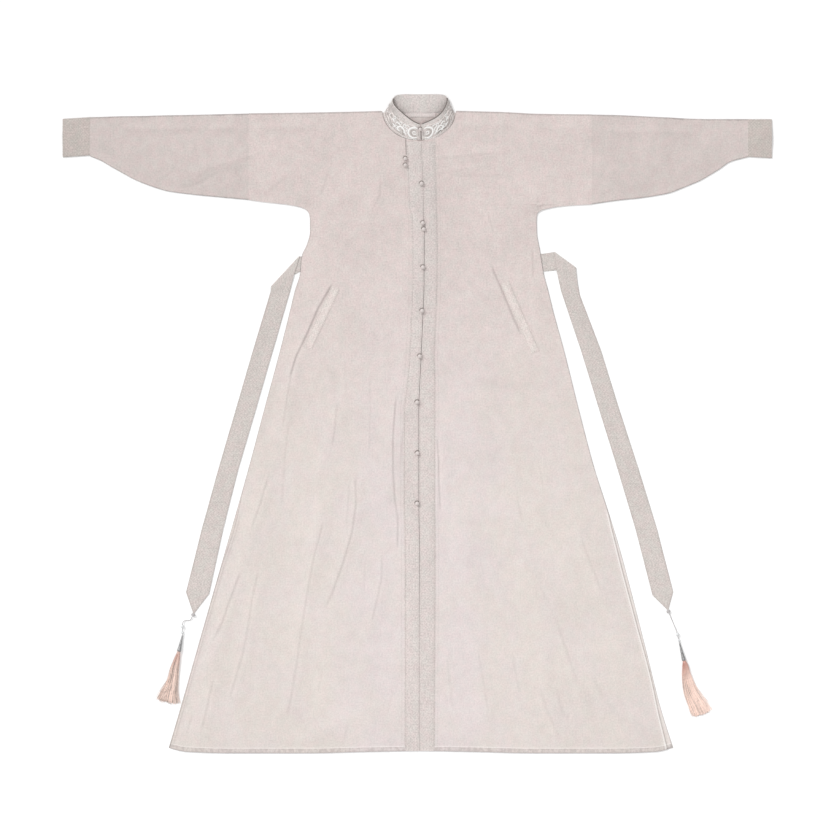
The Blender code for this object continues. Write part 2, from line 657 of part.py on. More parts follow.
def make_welt(side: int, tree: BVHTree, material):
    """Slanted pocket welt, a strip that lies on the front."""
    welt = WELT[side]
    top = np.array((side * welt.top_reach, welt.top_drop))
    low = np.array((side * welt.low_reach, welt.low_drop))
    run = (low - top) / np.linalg.norm(low - top)
    aside = np.array((run[1], -run[0])) * WELT_WIDTH / 2
    sheet = np.zeros((WELT_ROWS, 3, 3))
    for i, share in enumerate(np.linspace(0, 1, WELT_ROWS)):
        for j, part in enumerate((-1, 0, 1)):
            across, drop = top + (low - top) * share + aside * part
            sheet[i, j] = across, drop, top_of((tree,), across, drop, WELT_REACH) + GAP
    return wall_between(f"pocket_{SIDE_NAME[side]}", sheet, lifted(sheet, TRIM_WALL), material)


# ---------------------------------------------------------------- ties
def make_tie(side: int, material):
    """A ribbon that leaves the side seam, is folded over slantwise and runs down to a point."""
    half = WALL / 2
    turn = half + GAP / 2
    inner, outer, normals = [], [], []
    for number, row in enumerate(TIE[side]):
        near = np.array((side * row.inner_reach, row.inner_drop, 0.0))
        far = np.array((side * row.outer_reach, row.outer_drop, 0.0))
        if number != TIE_FOLD_ROW:
            over = number == TIE_FOLD_ROW + 1
            near[2] = far[2] = half + (2 * turn if over else 0.0)
            inner.append(near)
            outer.append(far)
            normals.append(np.array((0, 0, 1.0 if number < TIE_FOLD_ROW else -1.0)))
            continue
        edge = (far - near) / np.linalg.norm(far - near)
        away = np.array((edge[1], -edge[0], 0.0)) * side
        for angle in np.linspace(-math.pi / 2, math.pi / 2, TIE_FOLD_STEPS + 1):
            move = away * (math.cos(angle) * turn)
            move[2] = half + turn + math.sin(angle) * turn
            inner.append(near + move)
            outer.append(far + move)
            normals.append(-away * math.cos(angle) - np.array((0, 0, math.sin(angle))))
    inner, outer, normals = np.array(inner), np.array(outer), np.array(normals) * half
    lower = np.stack((inner - normals, outer - normals), axis=1)
    upper = np.stack((inner + normals, outer + normals), axis=1)
    return wall_between(f"tie_{SIDE_NAME[side]}", lower, upper, material, 35.0)


# ---------------------------------------------------------------- buttons
def make_button(item: Fastening, trees: Sequence[BVHTree], material):
    """A round knob with a flattened foot, on the cloth under it."""
    radius = item.diameter / 2
    up = top_of(trees, item.across, item.drop, radius) + GAP
    bm = bmesh.new()
    bmesh.ops.create_uvsphere(bm, u_segments=KNOB_SIDES, v_segments=KNOB_RINGS, radius=radius)
    for vertex in bm.verts:
        vertex.co.z = max(vertex.co.z, -KNOB_FOOT * radius)
    bmesh.ops.remove_doubles(bm, verts=bm.verts, dist=0.05)
    bmesh.ops.recalc_face_normals(bm, faces=bm.faces)
    place = to_world(np.array((item.across, item.drop, up + KNOB_FOOT * radius)))
    bmesh.ops.transform(bm, matrix=Matrix.Translation(place.tolist()) @ Matrix.Scale(MM, 4),
                        verts=bm.verts)
    mesh = bpy.data.meshes.new(f"button_{item.name}")
    bm.to_mesh(mesh)
    bm.free()
    return finish_object(f"button_{item.name}", mesh, material, 40.0)


def add_cord(name: str, points: Sequence, radius: float, material, resolution: int = 2):
    """A round tube with closed ends along points in (across, drop, up)."""
    curve = bpy.data.curves.new(name, "CURVE")
    curve.dimensions = "3D"
    curve.bevel_depth = radius * MM
    curve.bevel_resolution = resolution
    curve.use_fill_caps = True
    spline = curve.splines.new("POLY")
    spline.points.add(len(points) - 1)
    for point, place in zip(spline.points, to_world(np.array(points, float)).tolist()):
        point.co = (*place, 1.0)
    curve.materials.append(material)
    item = bpy.data.objects.new(name, curve)
    bpy.context.scene.collection.objects.link(item)
    return item


def make_loop(item: Fastening, trees: Sequence[BVHTree], material):
    """The cord loop that holds a button, an arc round its upper side."""
    bow = item.diameter / 2 + LOOP_WIRE + GAP
    points = []
    for angle in np.linspace(LOOP_FROM, LOOP_TO, LOOP_POINTS):
        across = item.across + math.cos(angle) * bow
        drop = item.drop - math.sin(angle) * bow
        points.append((across, drop, 0.0))
    highest = max(top_of(trees, across, drop, LOOP_REACH) for across, drop, _ in points)
    up = highest + GAP + LOOP_WIRE
    points = [(across, drop, up) for across, drop, _ in points]
    return add_cord(f"loop_{item.name}", points, LOOP_WIRE, material, 0)


# ---------------------------------------------------------------- beads and tassels
def turned(name: str, profile: Sequence, base: np.ndarray, tip: np.ndarray, material,
           sides: int = 12):
    """Turn a closed profile of (distance along, radius) about the line from base to tip."""
    axis = Vector((to_world(tip) - to_world(base)).tolist())
    turn = axis.to_track_quat("Z", "Y").to_matrix().to_4x4()
    angles = np.linspace(0, 2 * math.pi, sides, endpoint=False)
    points = [(r * math.cos(a), r * math.sin(a), along) for a in angles for along, r in profile]
    mesh = bpy.data.meshes.new(name)
    mesh.from_pydata(points, [], ring_faces(sides, len(profile)))
    place = Matrix.Translation(to_world(base).tolist()) @ turn @ Matrix.Scale(MM, 4)
    mesh.transform(place)
    bm = bmesh.new()
    bm.from_mesh(mesh)
    bmesh.ops.remove_doubles(bm, verts=bm.verts, dist=1e-7)
    bmesh.ops.recalc_face_normals(bm, faces=bm.faces)
    bm.to_mesh(mesh)
    bm.free()
    return finish_object(name, mesh, material, 45.0)


def ring_faces(sides: int, around: int) -> list:
    """Quads of a ring of closed profiles."""
    faces = []
    for i in range(sides):
        for j in range(around):
            a, b = i * around, (i + 1) % sides * around
            k = (j + 1) % around
            faces.append((a + j, a + k, b + k, b + j))
    return faces


def bead_profile(radius: float) -> list:
    """Half-round outside and a straight bore, as (distance along, radius)."""
    reach = math.acos(BEAD_HOLE / radius)
    return [(radius * math.sin(a), radius * math.cos(a)) for a in np.linspace(-reach, reach, 7)]


def make_lock(bm, line: np.ndarray, aside: Vector, widths: np.ndarray) -> None:
    """One three-sided lock of threads along a line, as wide at each point as widths say."""
    rings = []
    for number, (place, width) in enumerate(zip(line.tolist(), widths.tolist())):
        middle = Vector(place)
        height = 0.5 + 0.5 * number / LOCK_STEPS
        corners = (middle - aside * width / 2, middle + aside * width / 2,
                   middle + Vector((0, 0, height)))
        rings.append([bm.verts.new(corner) for corner in corners])
    for first, second in zip(rings, rings[1:]):
        for j in range(3):
            k = (j + 1) % 3
            bm.faces.new((first[j], first[k], second[k], second[j]))
    bm.faces.new(rings[0][::-1])
    bm.faces.new(rings[-1])


def make_tassel(side: int, material):
    """A tassel: three layers of locks whose roots are fused into its round head."""
    name = f"tassel_{SIDE_NAME[side]}"
    pendant = PENDANT[side]
    base = np.array((*pendant.cap_base, CAP_MOUTH))
    end = np.array((*pendant.tassel_end, 1.0))
    run = end - base
    run[2] = 0
    length = np.linalg.norm(run)
    unit = run / length
    start = base + unit * GAP
    head = turned(name, ((0, 0), (0, HEAD_RADIUS * 0.9), (1, HEAD_RADIUS),
                         (HEAD_LENGTH, HEAD_RADIUS * 0.96), (HEAD_LENGTH, 0)),
                  start, start + unit, material)
    root = HEAD_LENGTH - ROOT_INSET
    aside = np.array((unit[1], -unit[0], 0))
    share = np.linspace(0, 1, LOCK_STEPS + 1)
    flare = np.array(FLARE[side])
    half, bow = (np.interp(share, flare[:, 0], flare[:, i]) for i in (1, 2))
    widths = np.maximum(LOCK_ROOT, LOCK_COVER * 2 * half / LOCKS_PER_LAYER)
    settle = share * share * (3 - 2 * share)
    bm = bmesh.new()
    for layer in range(LOCK_LAYERS):
        shift = 0.5 if layer % 2 else 0.0
        count = LOCKS_PER_LAYER - (layer % 2)
        for number in range(count):
            part = (number + shift) / (LOCKS_PER_LAYER - 1) * 2 - 1
            wave = 3.0 * math.sin(2.3 * number + 1.7 * layer) + 2.5 * math.cos(5.1 * number)
            along = root + (length + wave - 3.0 * abs(part) - root) * share
            line = start + unit * along[:, None] + aside * (part * half + bow)[:, None]
            root_up = start[2] + (layer - 1) * ROOT_STEP - GAP
            line[:, 2] = root_up + (TIP_LOWEST + layer * TIP_STEP - root_up) * settle
            make_lock(bm, line, Vector(aside), widths)
    for vertex in bm.verts:
        vertex.co = Vector(to_world(np.array(vertex.co)).tolist())
    bmesh.ops.recalc_face_normals(bm, faces=bm.faces)
    mesh = bpy.data.meshes.new(f"{name}_locks")
    bm.to_mesh(mesh)
    bm.free()
    locks = bpy.data.objects.new(f"{name}_locks", mesh)
    bpy.context.scene.collection.objects.link(locks)
    locks.hide_render = True
    locks.display_type = "WIRE"
    union = head.modifiers.new("locks", "BOOLEAN")
    union.operation = "UNION"
    union.solver = "EXACT"
    union.object = locks
    return head


def make_pendant(side: int, silver, crystal, thread, silk) -> None:
    """Knot, cord, two beads, cap and tassel at the point of one tie."""
    pendant, word = PENDANT[side], SIDE_NAME[side]
    knot = np.array((*pendant.knot, KNOT_RADIUS * KNOT_SQUASH))
    large = np.array((*pendant.bead_large, BEAD_LARGE))
    small = np.array((*pendant.bead_small, BEAD_SMALL))
    tip = np.array((*pendant.cap_top, CAP_TIP_UP))
    mouth = np.array((*pendant.cap_base, CAP_MOUTH))

    first = np.array(pendant.way[0])
    leave = (first - knot) / np.linalg.norm(first - knot)
    route = [knot + leave * (KNOT_RADIUS + GAP)]
    route += [np.array(place) for place in pendant.way]
    into = (small - large) / np.linalg.norm(small - large)
    route += [large - into * BEAD_LARGE, large, large + into * BEAD_LARGE, small]
    route.append(tip + (small - tip) / np.linalg.norm(small - tip) * GAP)
    knots = np.cumsum([0.0] + [float(np.linalg.norm(b - a)) for a, b in zip(route, route[1:])])
    at = np.linspace(0, knots[-1], CORD_POINTS)
    add_cord(f"cord_{word}", smooth_through(knots, np.array(route), at), CORD_RADIUS, thread)

    turned(f"knot_{word}", [(KNOT_RADIUS * math.sin(a), KNOT_RADIUS * KNOT_SQUASH * math.cos(a))
                            for a in np.linspace(-math.pi / 2, math.pi / 2, 7)],
           knot, knot + leave, thread, 10)
    turned(f"bead_large_{word}", bead_profile(BEAD_LARGE), large, large + into, crystal)
    towards = (tip - small) / np.linalg.norm(tip - small)
    turned(f"bead_small_{word}", bead_profile(BEAD_SMALL), small, small + (into + towards) / 2,
           crystal)
    tall = np.linalg.norm(mouth - tip)
    outline = [(share * tall, radius) for share, radius in CAP_OUTLINE]
    turned(f"cap_{word}", ((0, 0), *outline, (tall, 0)), tip, mouth, silver)
    make_tassel(side, silk)


def main() -> None:
    """Build every piece."""
    for item in list(bpy.data.objects):
        bpy.data.objects.remove(item, do_unlink=True)
    cloth = make_material("body_cloth", srgb(222, 211, 208), 0.85)
    sleeve_cloth = make_material("sleeve_cloth", srgb(212, 201, 198), 0.85)
    trim = make_material("trim_cloth", srgb(203, 195, 188), 0.8)
    collar_cloth = make_material("collar_cloth", srgb(221, 216, 212), 0.7)
    pearl = make_material("button_pearl", srgb(232, 226, 222), 0.3)
    loop_thread = make_material("loop_thread", srgb(168, 160, 155), 0.6)
    silver = make_material("silver", srgb(150, 150, 155), 0.3, 1.0)
    crystal = make_material("crystal", srgb(235, 235, 235), 0.15)
    thread = make_material("silver_thread", srgb(190, 188, 190), 0.5)
    silk = make_material("peach_silk", srgb(236, 206, 193), 0.55)

    make_back(cloth)
    collar = make_collar(collar_cloth)
    bands, fronts = {}, {}
    for side in (-1, 1):
        fronts[side] = surface_of(make_front(side, cloth))
        bands[side] = surface_of(make_band(side, trim))
        make_sleeve(side, sleeve_cloth)
        make_cuff(side, trim)
        make_welt(side, fronts[side], trim)
        make_tie(side, trim)
        make_pendant(side, silver, crystal, thread, silk)
    beneath = (*fronts.values(), *bands.values(), surface_of(collar))
    for item in FASTENINGS:
        make_button(item, beneath, pearl)
        make_loop(item, beneath, loop_thread)


main()
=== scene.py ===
"""Looks of a long front-opening robe with a standing collar, laid face up on a flat surface.

Sizes are millimetres until a mesh is made.  "across" runs from the centre line towards +X, the
wearer's left; "reach" is the distance from the centre line on either side; "drop" is the
distance below the line of the shoulders, towards -Y; "up" is the height above the surface.
A point is (across, drop, up).
"""
import logging
import math
from dataclasses import dataclass, field
from enum import Enum
from typing import Any, Callable, NamedTuple, Optional, Sequence

import bpy
import numpy as np
from bpy.types import NodeSocket, Object
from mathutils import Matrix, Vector


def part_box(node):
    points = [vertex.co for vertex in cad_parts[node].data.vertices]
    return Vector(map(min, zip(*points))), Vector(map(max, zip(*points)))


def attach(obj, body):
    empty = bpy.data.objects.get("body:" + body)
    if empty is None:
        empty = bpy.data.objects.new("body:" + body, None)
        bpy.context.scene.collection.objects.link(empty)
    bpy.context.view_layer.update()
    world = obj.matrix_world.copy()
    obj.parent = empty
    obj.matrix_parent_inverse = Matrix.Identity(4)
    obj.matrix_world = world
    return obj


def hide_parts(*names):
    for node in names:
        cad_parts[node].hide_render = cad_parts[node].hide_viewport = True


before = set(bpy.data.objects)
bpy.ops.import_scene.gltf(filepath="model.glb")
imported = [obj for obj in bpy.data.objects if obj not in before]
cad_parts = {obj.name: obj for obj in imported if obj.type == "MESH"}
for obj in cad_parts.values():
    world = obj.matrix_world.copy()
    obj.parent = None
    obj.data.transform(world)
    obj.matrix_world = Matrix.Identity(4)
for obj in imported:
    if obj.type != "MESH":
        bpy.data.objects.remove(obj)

LOG = logging.getLogger("robe")
Array = np.ndarray
MM = 0.001
SHIFT_X, SHIFT_Y = 8.0, 667.0  # X of the centre line and Y of the shoulder line
SEED = 11
UP = np.array((0.0, 0.0, 1.0))


class Side(Enum):
    """The wearer's sides; the value is the sign of across."""

    RIGHT = -1
    LEFT = 1

    @property
    def word(self) -> str:
        """The side's name as the frame's nodes have it."""
        return self.name.lower()


# --- tables
class Edge(NamedTuple):
    """One point of a side edge of the body."""

    drop: float
    reach: float


class SleeveRow(NamedTuple):
    """One section across a sleeve: the drops of its folded top and sewn bottom edges."""

    reach: float
    top: float
    bottom: float


class Ridge(NamedTuple):
    """A broad soft ridge between two points of the upper layer."""

    across: float
    drop: float
    to_across: float
    to_drop: float
    half_width: float
    rise: float


class Fold(NamedTuple):
    """A narrow crease along a line: a ridge of some rise, a step down to its right, and how much
    painted shade darkens the cloth in it."""

    half_width: float
    rise: float
    step: float
    path: tuple
    shade: float = 0.0


class Hanging(NamedTuple):
    """The beads and tassel on a tie's point, as (across, drop) or (across, drop, up) places."""

    knot: tuple
    way: tuple
    bead_large: tuple
    bead_small: tuple
    cap_top: tuple
    cap_base: tuple
    tassel_end: tuple


def rows_of(kind: type, rows: Sequence[tuple]) -> tuple:
    """The rows of a table, with their columns named."""
    return tuple(kind(*row) for row in rows)


def by_side(kind: type, right: Sequence[tuple], left: Sequence[tuple]) -> dict:
    """A table for each of the wearer's sides."""
    return {Side.RIGHT: rows_of(kind, right), Side.LEFT: rows_of(kind, left)}


SIDE_EDGE = by_side(Edge, (
        (187.5, 369.0), (192.5, 332.0), (197, 290), (203, 259), (208, 247),
        (218, 239.5), (231, 237.5), (257, 237.5), (283, 244), (308, 255),
        (347, 259), (381, 269.5), (424, 280), (510, 301.5), (638, 336),
        (766, 370), (895, 406.5), (1023, 443), (1151, 479.5),
        (1280, 515.5), (1366, 540)), (
        (197, 366), (201, 300), (205, 277), (211, 256), (218, 249),
        (231, 247.5), (257, 248), (295, 254.5), (347, 263), (381, 272),
        (424, 282.5), (510, 306), (638, 338), (766, 372), (852, 400),
        (937, 426), (1023, 449), (1151, 481.5), (1280, 513.5), (1366, 540)))
# values on the wearer's right and left, after the reach or drop at which they hold
SHOULDER = ((70, -2.5, -2.5), (170, 0, 0), (255, 1.5, 4), (370, 3, 5.3))
SLIT_INSET = ((205, 0, 0), (232, 0.3, 0.3), (800, 0.3, 0.3), (852, 4, 1), (895, 6, 4), (937, 4, 6),
              (980, 1.5, 7), (1087, 1.5, 6), (1215, 1.7, 3.5), (1290, 1.8, 7), (1366, 2, 12))
BAND_WIDTH = ((60, 32, 30), (200, 33, 29), (225, 27, 29), (510, 26, 29), (590, 29, 34), (640, 33, 35),
              (1366, 32, 33))
CENTRE_LINE = ((0, 0), (60, 0.5), (130, 3.5), (200, 5.5), (280, 7), (370, 6.5), (450, 3.5),
               (550, -1), (640, -4.5), (830, -4.5), (940, -3), (1366, -3.2))
CENTRE_GAP = ((60, 0.16), (200, 0.2), (260, 0.52), (700, 0.5), (1000, 0.36), (1143, 0.16), (1366, 0.18))
HEM_LINE = ((0, 1367), (0.2, 1369), (0.45, 1372), (0.75, 1372), (0.93, 1369), (1, 1361))
SLEEVE = by_side(SleeveRow, (
        (369, 3, 187.5), (430, 4.5, 182), (473, 5.5, 178),
        (516, 6.4, 173), (543, 6.8, 169), (566, 7.4, 162.5),
        (590, 8.2, 154), (614, 8.6, 144), (638, 8.8, 131),
        (663, 9.4, 117), (687, 10.4, 103), (708.5, 10.8, 94.5)), (
        (366, 5.3, 197), (426, 6.6, 188.5), (469, 8.6, 184),
        (511, 10.7, 177.6), (533, 11.5, 173), (554, 13, 165),
        (576, 14, 156), (597, 14.6, 147), (618, 15, 135),
        (640, 15, 121.5), (661, 15, 107), (700, 15, 96)))
CUFF = by_side(SleeveRow, ((708.5, 10.6, 92.5), (737, 12.4, 94.5),
                 (767, 14, 96.5)), ((700, 15, 95.5), (725, 15, 97), (751, 15, 98.5)))
RIDGES = rows_of(Ridge, (
    # wearer's right of the skirt
    (-262, 520, -296, 680, 15, 4.0), (-173, 627, -212, 751, 17, 3.5),
    (-332, 820, -362, 901, 15, 4.0), (-385, 978, -450, 1179, 19, 5.0),
    (-345, 1006, -400, 1260, 20, 4.5), (-212, 852, -285, 1275, 21, 6.0),
    (-139, 852, -185, 1001, 19, 4.0), (-83, 976, -107, 1098, 19, 4.0),
    (-60, 646, -66, 811, 14, 4.0), (-440, 1222, -466, 1329, 17, 4.0),
    (-250, 1345, -173, 1310, 19, 3.5), (-120, 1180, -128, 1330, 24, 3.0),
    # wearer's left of the skirt
    (46, 700, 52, 800, 14, 4.0), (119, 1130, 142, 1290, 18, 5.0),
    (323, 1200, 372, 1330, 20, 6.0), (257, 1200, 297, 1340, 19, 4.0),
    (347, 1170, 390, 1262, 17, 4.0), (335, 890, 385, 1020, 21, 4.5),
    (218, 940, 264, 1070, 23, 4.5), (184, 690, 197, 770, 16, 3.5),
    (149, 330, 196, 420, 13, 3.5), (90, 860, 104, 1010, 22, 3.5),
    (60, 520, 190, 545, 24, 2.5), (80, 600, 225, 640, 24, 2.5),
    # chest and upper sleeves
    (45, 107, 163, 86, 15, 3.0), (60, 141, 175, 146, 18, 3.0),
    (225, 205, 148, 156, 17, 4.0), (-92, 160, -107, 222, 15, 3.0),
    (-216, 212, -145, 165, 17, 4.0), (-120, 240, -60, 236, 22, 2.5),
    # sleeves
    (-513, 150, -458, 120, 17, 4.5), (-458, 120, -323, 81, 17, 4.5),
    (-340, 166, -295, 140, 15, 3.5), (355, 122, 402, 128, 14, 3.0),
    (475, 160, 392, 103, 18, 3.5), (600, 110, 520, 84, 18, 3.0),
    (-640, 92, -560, 66, 18, 3.0),
))
FOLDS = rows_of(Fold, (
    # wearer's right of the skirt
    (4, 0, 0.7, ((-210, 880), (-231, 959), (-242, 1023), (-255, 1102), (-265, 1173), (-276, 1243),
     (-285, 1286)), 0.25),
    (4.5, 0.2, 0.9, ((-141, 783), (-139, 837), (-148, 901), (-167, 965), (-190, 1029), (-205, 1059)), 0.4),
    (4, 0, 0.5, ((-154, 798), (-156, 841), (-160, 884)), 0.2),
    (4, 0, 0.7, ((-84, 952), (-84, 995), (-94, 1044), (-105, 1087)), 0.35),
    (4, -0.2, 1, ((-54, 612), (-60, 696), (-60, 766), (-56, 830), (-49, 873), (-51, 931)), 0.6),
    (3.5, -0.1, 0.6, ((-38, 674), (-41, 708), (-41, 749)), 0.3),
    (5, 0, 0.6, ((-180, 623), (-184, 674), (-190, 713)), 0.25),
    (4, 0, 0.4, ((-163, 531), (-160, 601)), 0.15),
    (4, 0, 0.35, ((-109, 567), (-109, 648), (-111, 730)), 0.15),
    (5, 0, 0.5, ((-278, 567), (-285, 601), (-295, 666)), 0.35),
    (5, 0, 0.45, ((-285, 674), (-291, 738), (-298, 837)), 0.2),
    (5, 0.2, 0.7, ((-327, 781), (-344, 837), (-362, 888)), 0.35),
    (5, 0, 0.9, ((-387, 986), (-409, 1044), (-426, 1094), (-445, 1130)), 0.45),
    (4.5, 0.1, 0.7, ((-349, 986), (-362, 1044), (-370, 1102), (-381, 1158), (-398, 1216),
     (-409, 1252)), 0.35),
    (4.5, 0, 0.7, ((-445, 1216), (-456, 1265), (-469, 1322)), 0.4),
    (4, 0, 0.5, ((-488, 1286), (-501, 1329)), 0.3),
    (4, 0, 0.4, ((-120, 959), (-122, 1023)), 0.15),
    (4, 0, 0.4, ((-210, 1188), (-220, 1237)), 0.15),
    (5, 0, 0.5, ((-156, 1305), (-167, 1355)), 0.25),
    (4, 0, 0.4, ((-60, 1243), (-73, 1286)), 0.15),
    (5, 0, 0.5, ((-265, 1286), (-252, 1305), (-240, 1318)), 0.25),
    (8, 0.6, -0.4, ((-250, 1352), (-173, 1314))),
    # wearer's left of the skirt
    (3.5, -0.1, 1, ((33, 698), (38, 745), (38, 788), (41, 852)), 0.6),
    (4, 0, 0.4, ((250, 745), (261, 802)), 0.15),
    (4, 0, 0.5, ((205, 824), (216, 873)), 0.25),
    (4.5, 0.1, 0.7, ((344, 916), (362, 965), (383, 1016)), 0.35),
    (4.5, 0, 0.6, ((289, 1083), (306, 1136), (319, 1177), (334, 1220)), 0.3),
    (4, 0.5, -0.6, ((323, 1237), (347, 1286), (368, 1316))),
    (6, 0, 0.6, ((368, 1209), (390, 1252), (426, 1295)), 0.3),
    (4.5, 0, 0.7, ((255, 1237), (272, 1286), (298, 1344)), 0.35),
    (4.5, 0, 0.6, ((291, 1243), (304, 1286), (340, 1322), (366, 1357)), 0.3),
    (4, 0.2, 0.5, ((122, 1158), (133, 1216), (143, 1280)), 0.25),
    (4, 0.2, 0.5, ((195, 1158), (205, 1216), (212, 1243)), 0.2),
    (4, 0, 0.5, ((56, 1173), (68, 1273), (88, 1308)), 0.2),
    (6, 0.3, 0.4, ((98, 595), (141, 621), (190, 614), (233, 601), (287, 612), (323, 612))),
    (6, 0, 0.5, ((98, 745), (133, 781)), 0.15),
    (6, 0, 0.5, ((218, 959), (255, 1016), (282, 1072)), 0.15),
    (6, 0, 0.5, ((261, 867), (282, 905), (304, 937)), 0.12),
    (8, 0.3, 0.4, ((66, 484), (137, 475), (201, 462))),
    # broad soft hollows at the hips and by the hem, darkened mostly by painted shade
    (26, 0, 0.2, ((98, 571), (165, 584), (246, 588)), 0.3),
    (20, 0, 0.2, ((-190, 540), (-186, 596)), 0.28),
    (18, 0, 0.2, ((-318, 600), (-330, 640), (-342, 680)), 0.3),
    (9, 0, 0.2, ((-396, 860), (-407, 900), (-416, 930)), 0.5),
    (30, 0, 0.2, ((430, 1306), (520, 1340)), 0.28),
    # beside the pockets and the waist
    (5, -0.5, 1.2, ((-191, 370), (-200, 385), (-220, 420), (-234, 452), (-250, 488), (-266, 520),
     (-275, 548), (-280, 567)), 1.1),
    (4.5, -0.6, 1, ((151, 330), (165, 363), (183, 406), (198, 442), (212, 473)), 1.1),
    (5, 0, 0.5, ((238, 291), (240, 355)), 0.3),
    (5, 0, 0.4, ((257, 235), (208, 270)), 0.1),
    (7, 0.2, -0.3, ((-169, 235), (-84, 244)), 0.15),
    (7, 0.2, 0.3, ((-190, 312), (-100, 306), (-28, 309))),
    (7, 0.2, 0.3, ((34, 309), (120, 312), (230, 308))),
    # chest and upper sleeves
    (6, 0, -0.4, ((4, 103), (66, 98), (152, 88)), 0.35),
    (8, 0.4, 1.0, ((6, 132), (51, 121), (137, 110))),
    (9, 0, -0.35, ((66, 135), (137, 137), (208, 139)), 0.2),
    (7, 0.2, 0.4, ((109, 167), (169, 169), (223, 171))),
    (6, 0.2, 0.35, ((94, 188), (137, 190), (173, 199))),
    (5, 0, 0.5, ((-88, 141), (-88, 178), (-103, 205)), 0.25),
    (6, 0, 0.4, ((-195, 120), (-212, 171), (-223, 184)), 0.15),
    (4, 0, 0.5, ((143, 214), (154, 257)), 0.25),
    (6, 0.2, 0.3, ((-148, 261), (-193, 158), (-238, 128))),
    (12, 3.2, 0.3, ((-638, 33), (-560, 35), (-484, 35))),
    (12, 3.2, 0.3, ((-458, 35), (-387, 33))),
    (12, 3.2, 0.3, ((-340, 31), (-290, 31), (-235, 34))),
    (10, 2.6, 0.3, ((80, 30), (137, 30))),
    (10, 2.2, 0.3, ((152, 24), (195, 27))),
    (9, 1.8, 0.2, ((265, 32), (366, 34))),
    (12, 2.8, 0.3, ((400, 40), (490, 41), (586, 44))),
    # sleeves
    (4, 0.6, 0.5, ((-521, 159), (-441, 113), (-366, 92), (-339, 81))),
    (5, -0.2, -0.5, ((-509, 163), (-466, 146), (-437, 130)), 0.25),
    (4, 0.4, 0.5, ((-344, 178), (-312, 151), (-280, 122))),
    (4, 0, -0.4, ((-569, 151), (-532, 126)), 0.2),
    (5, 0, -0.4, ((374, 188), (394, 173), (411, 163)), 0.25),
    (5, -0.3, -0.8, ((-687, 100), (-655, 116), (-608, 139)), 0.9),
    (5, 0.2, 0.5, ((-738, 38), (-704, 26)), 0.1),
    (5, 0, 0.5, ((394, 124), (377, 141)), 0.15),
))
# lines up the collar: across and drop at the seam, the same at the rim, and both heights
COLLAR = (
    (-0.6, 60.2, -1.6, 28.8, 2.2, 14.5), (-25, 57.6, -15.5, 23.0, 2.2, 15.5),
    (-47, 49.0, -30.5, 12.6, 2.2, 16.5), (-66, 34.0, -44.5, 0.5, 2.2, 16.5),
    (-77, 14.0, -55.5, -10.5, 2.1, 15.5), (-78.2, 1.2, -60.6, -22.0, 1.6, 11.0),
    (-70, -1.8, -54.5, -34.0, 0.8, 4.6), (-40, -0.3, -40, -37.8, 0.8, 2.6),
    (-2, 0.4, -1, -37.9, 0.8, 2.2), (35, -0.3, 38, -37.8, 0.8, 2.6),
    (61, -1.8, 51.5, -35.0, 0.8, 4.4), (70.0, 1.0, 56.8, -26.5, 1.6, 9.5),
    (69.5, 14.0, 53.8, -12.0, 2.1, 15.0), (59, 34.0, 46, 2.0, 2.2, 17.0),
    (40, 49.2, 32.5, 14.0, 2.2, 16.5), (20, 57.5, 16.5, 22.3, 2.2, 15.5),
    (1.6, 60.2, 0.4, 28.8, 2.2, 14.5),
)
# the middles of a pocket welt's short ends: reach and drop of the upper, then of the lower
WELT = {Side.RIGHT: (181.8, 374.7, 242.9, 506.5), Side.LEFT: (178.5, 365.0, 245.0, 514.5)}
# sections across a tie: reach and drop of its inner edge, then of its outer one
TIE = {Side.RIGHT: (
        (255.6, 309, 259.0, 341), (260, 309, 320.5, 374), (272, 349, 322, 385),
        (280, 383, 325, 394), (316.7, 509, 359.5, 509), (354, 638, 397, 638),
        (391.6, 766, 434.4, 766), (424, 895, 470, 895),
        (453.7, 1031.5, 503, 1028), (485.4, 1073, 487.8, 1073)), Side.LEFT: (
        (256.4, 304, 262.5, 341), (284.6, 299.6, 331.7, 334),
        (291, 342, 335, 366), (300, 383, 341, 394), (342.4, 509, 385, 509),
        (382, 638, 425, 638), (421.6, 766, 466.5, 766), (460, 895, 506, 895),
        (495.8, 1034.5, 540, 1027), (527.4, 1065.5, 529.8, 1065.5))}
HANGING = {
    Side.RIGHT: Hanging(
        knot=(-487.5, 1076.3),
        way=((-493.5, 1086.8, 2.0), (-499, 1088.6, 1.2), (-505, 1088.6, 1.6),
             (-509.2, 1091.8, 3.0)),
        bead_large=(-510.6, 1101), bead_small=(-510.6, 1114), cap_top=(-510.2, 1119.6),
        cap_base=(-518.0, 1154.3), tassel_end=(-541.5, 1261)),
    Side.LEFT: Hanging(
        knot=(529.6, 1068.8),
        way=((535.2, 1082.5, 1.8), (539.6, 1092.5, 1.1), (543.6, 1102.5, 1.8),
             (546.2, 1109.5, 3.0)),
        bead_large=(548.6, 1118), bead_small=(551.9, 1130.8), cap_top=(553.4, 1136.2),
        cap_base=(562.8, 1173.8), tassel_end=(601.5, 1287)),
}
# sections across a tassel: share of its length, half its width, and its bow aside
FLARE = {
    Side.RIGHT: ((0, 3.0, 0), (0.1, 5.4, -0.3), (0.33, 9.2, -1.0), (0.6, 12.4, 0),
                 (0.86, 20.0, -1.4), (1, 25.5, 0)),
    Side.LEFT: ((0, 3.0, 0), (0.07, 6.2, -1.0), (0.22, 9.3, -4.7), (0.53, 15.2, -8.0),
                (0.85, 21.5, -2.9), (1, 25.0, 0)),
}
BUTTONS = ("neck", "side_a", "side_b", "chest", "upper_a", "upper_b", "waist_a", "waist_b",
           "hip_a", "hip_b", "skirt_a", "skirt_b")


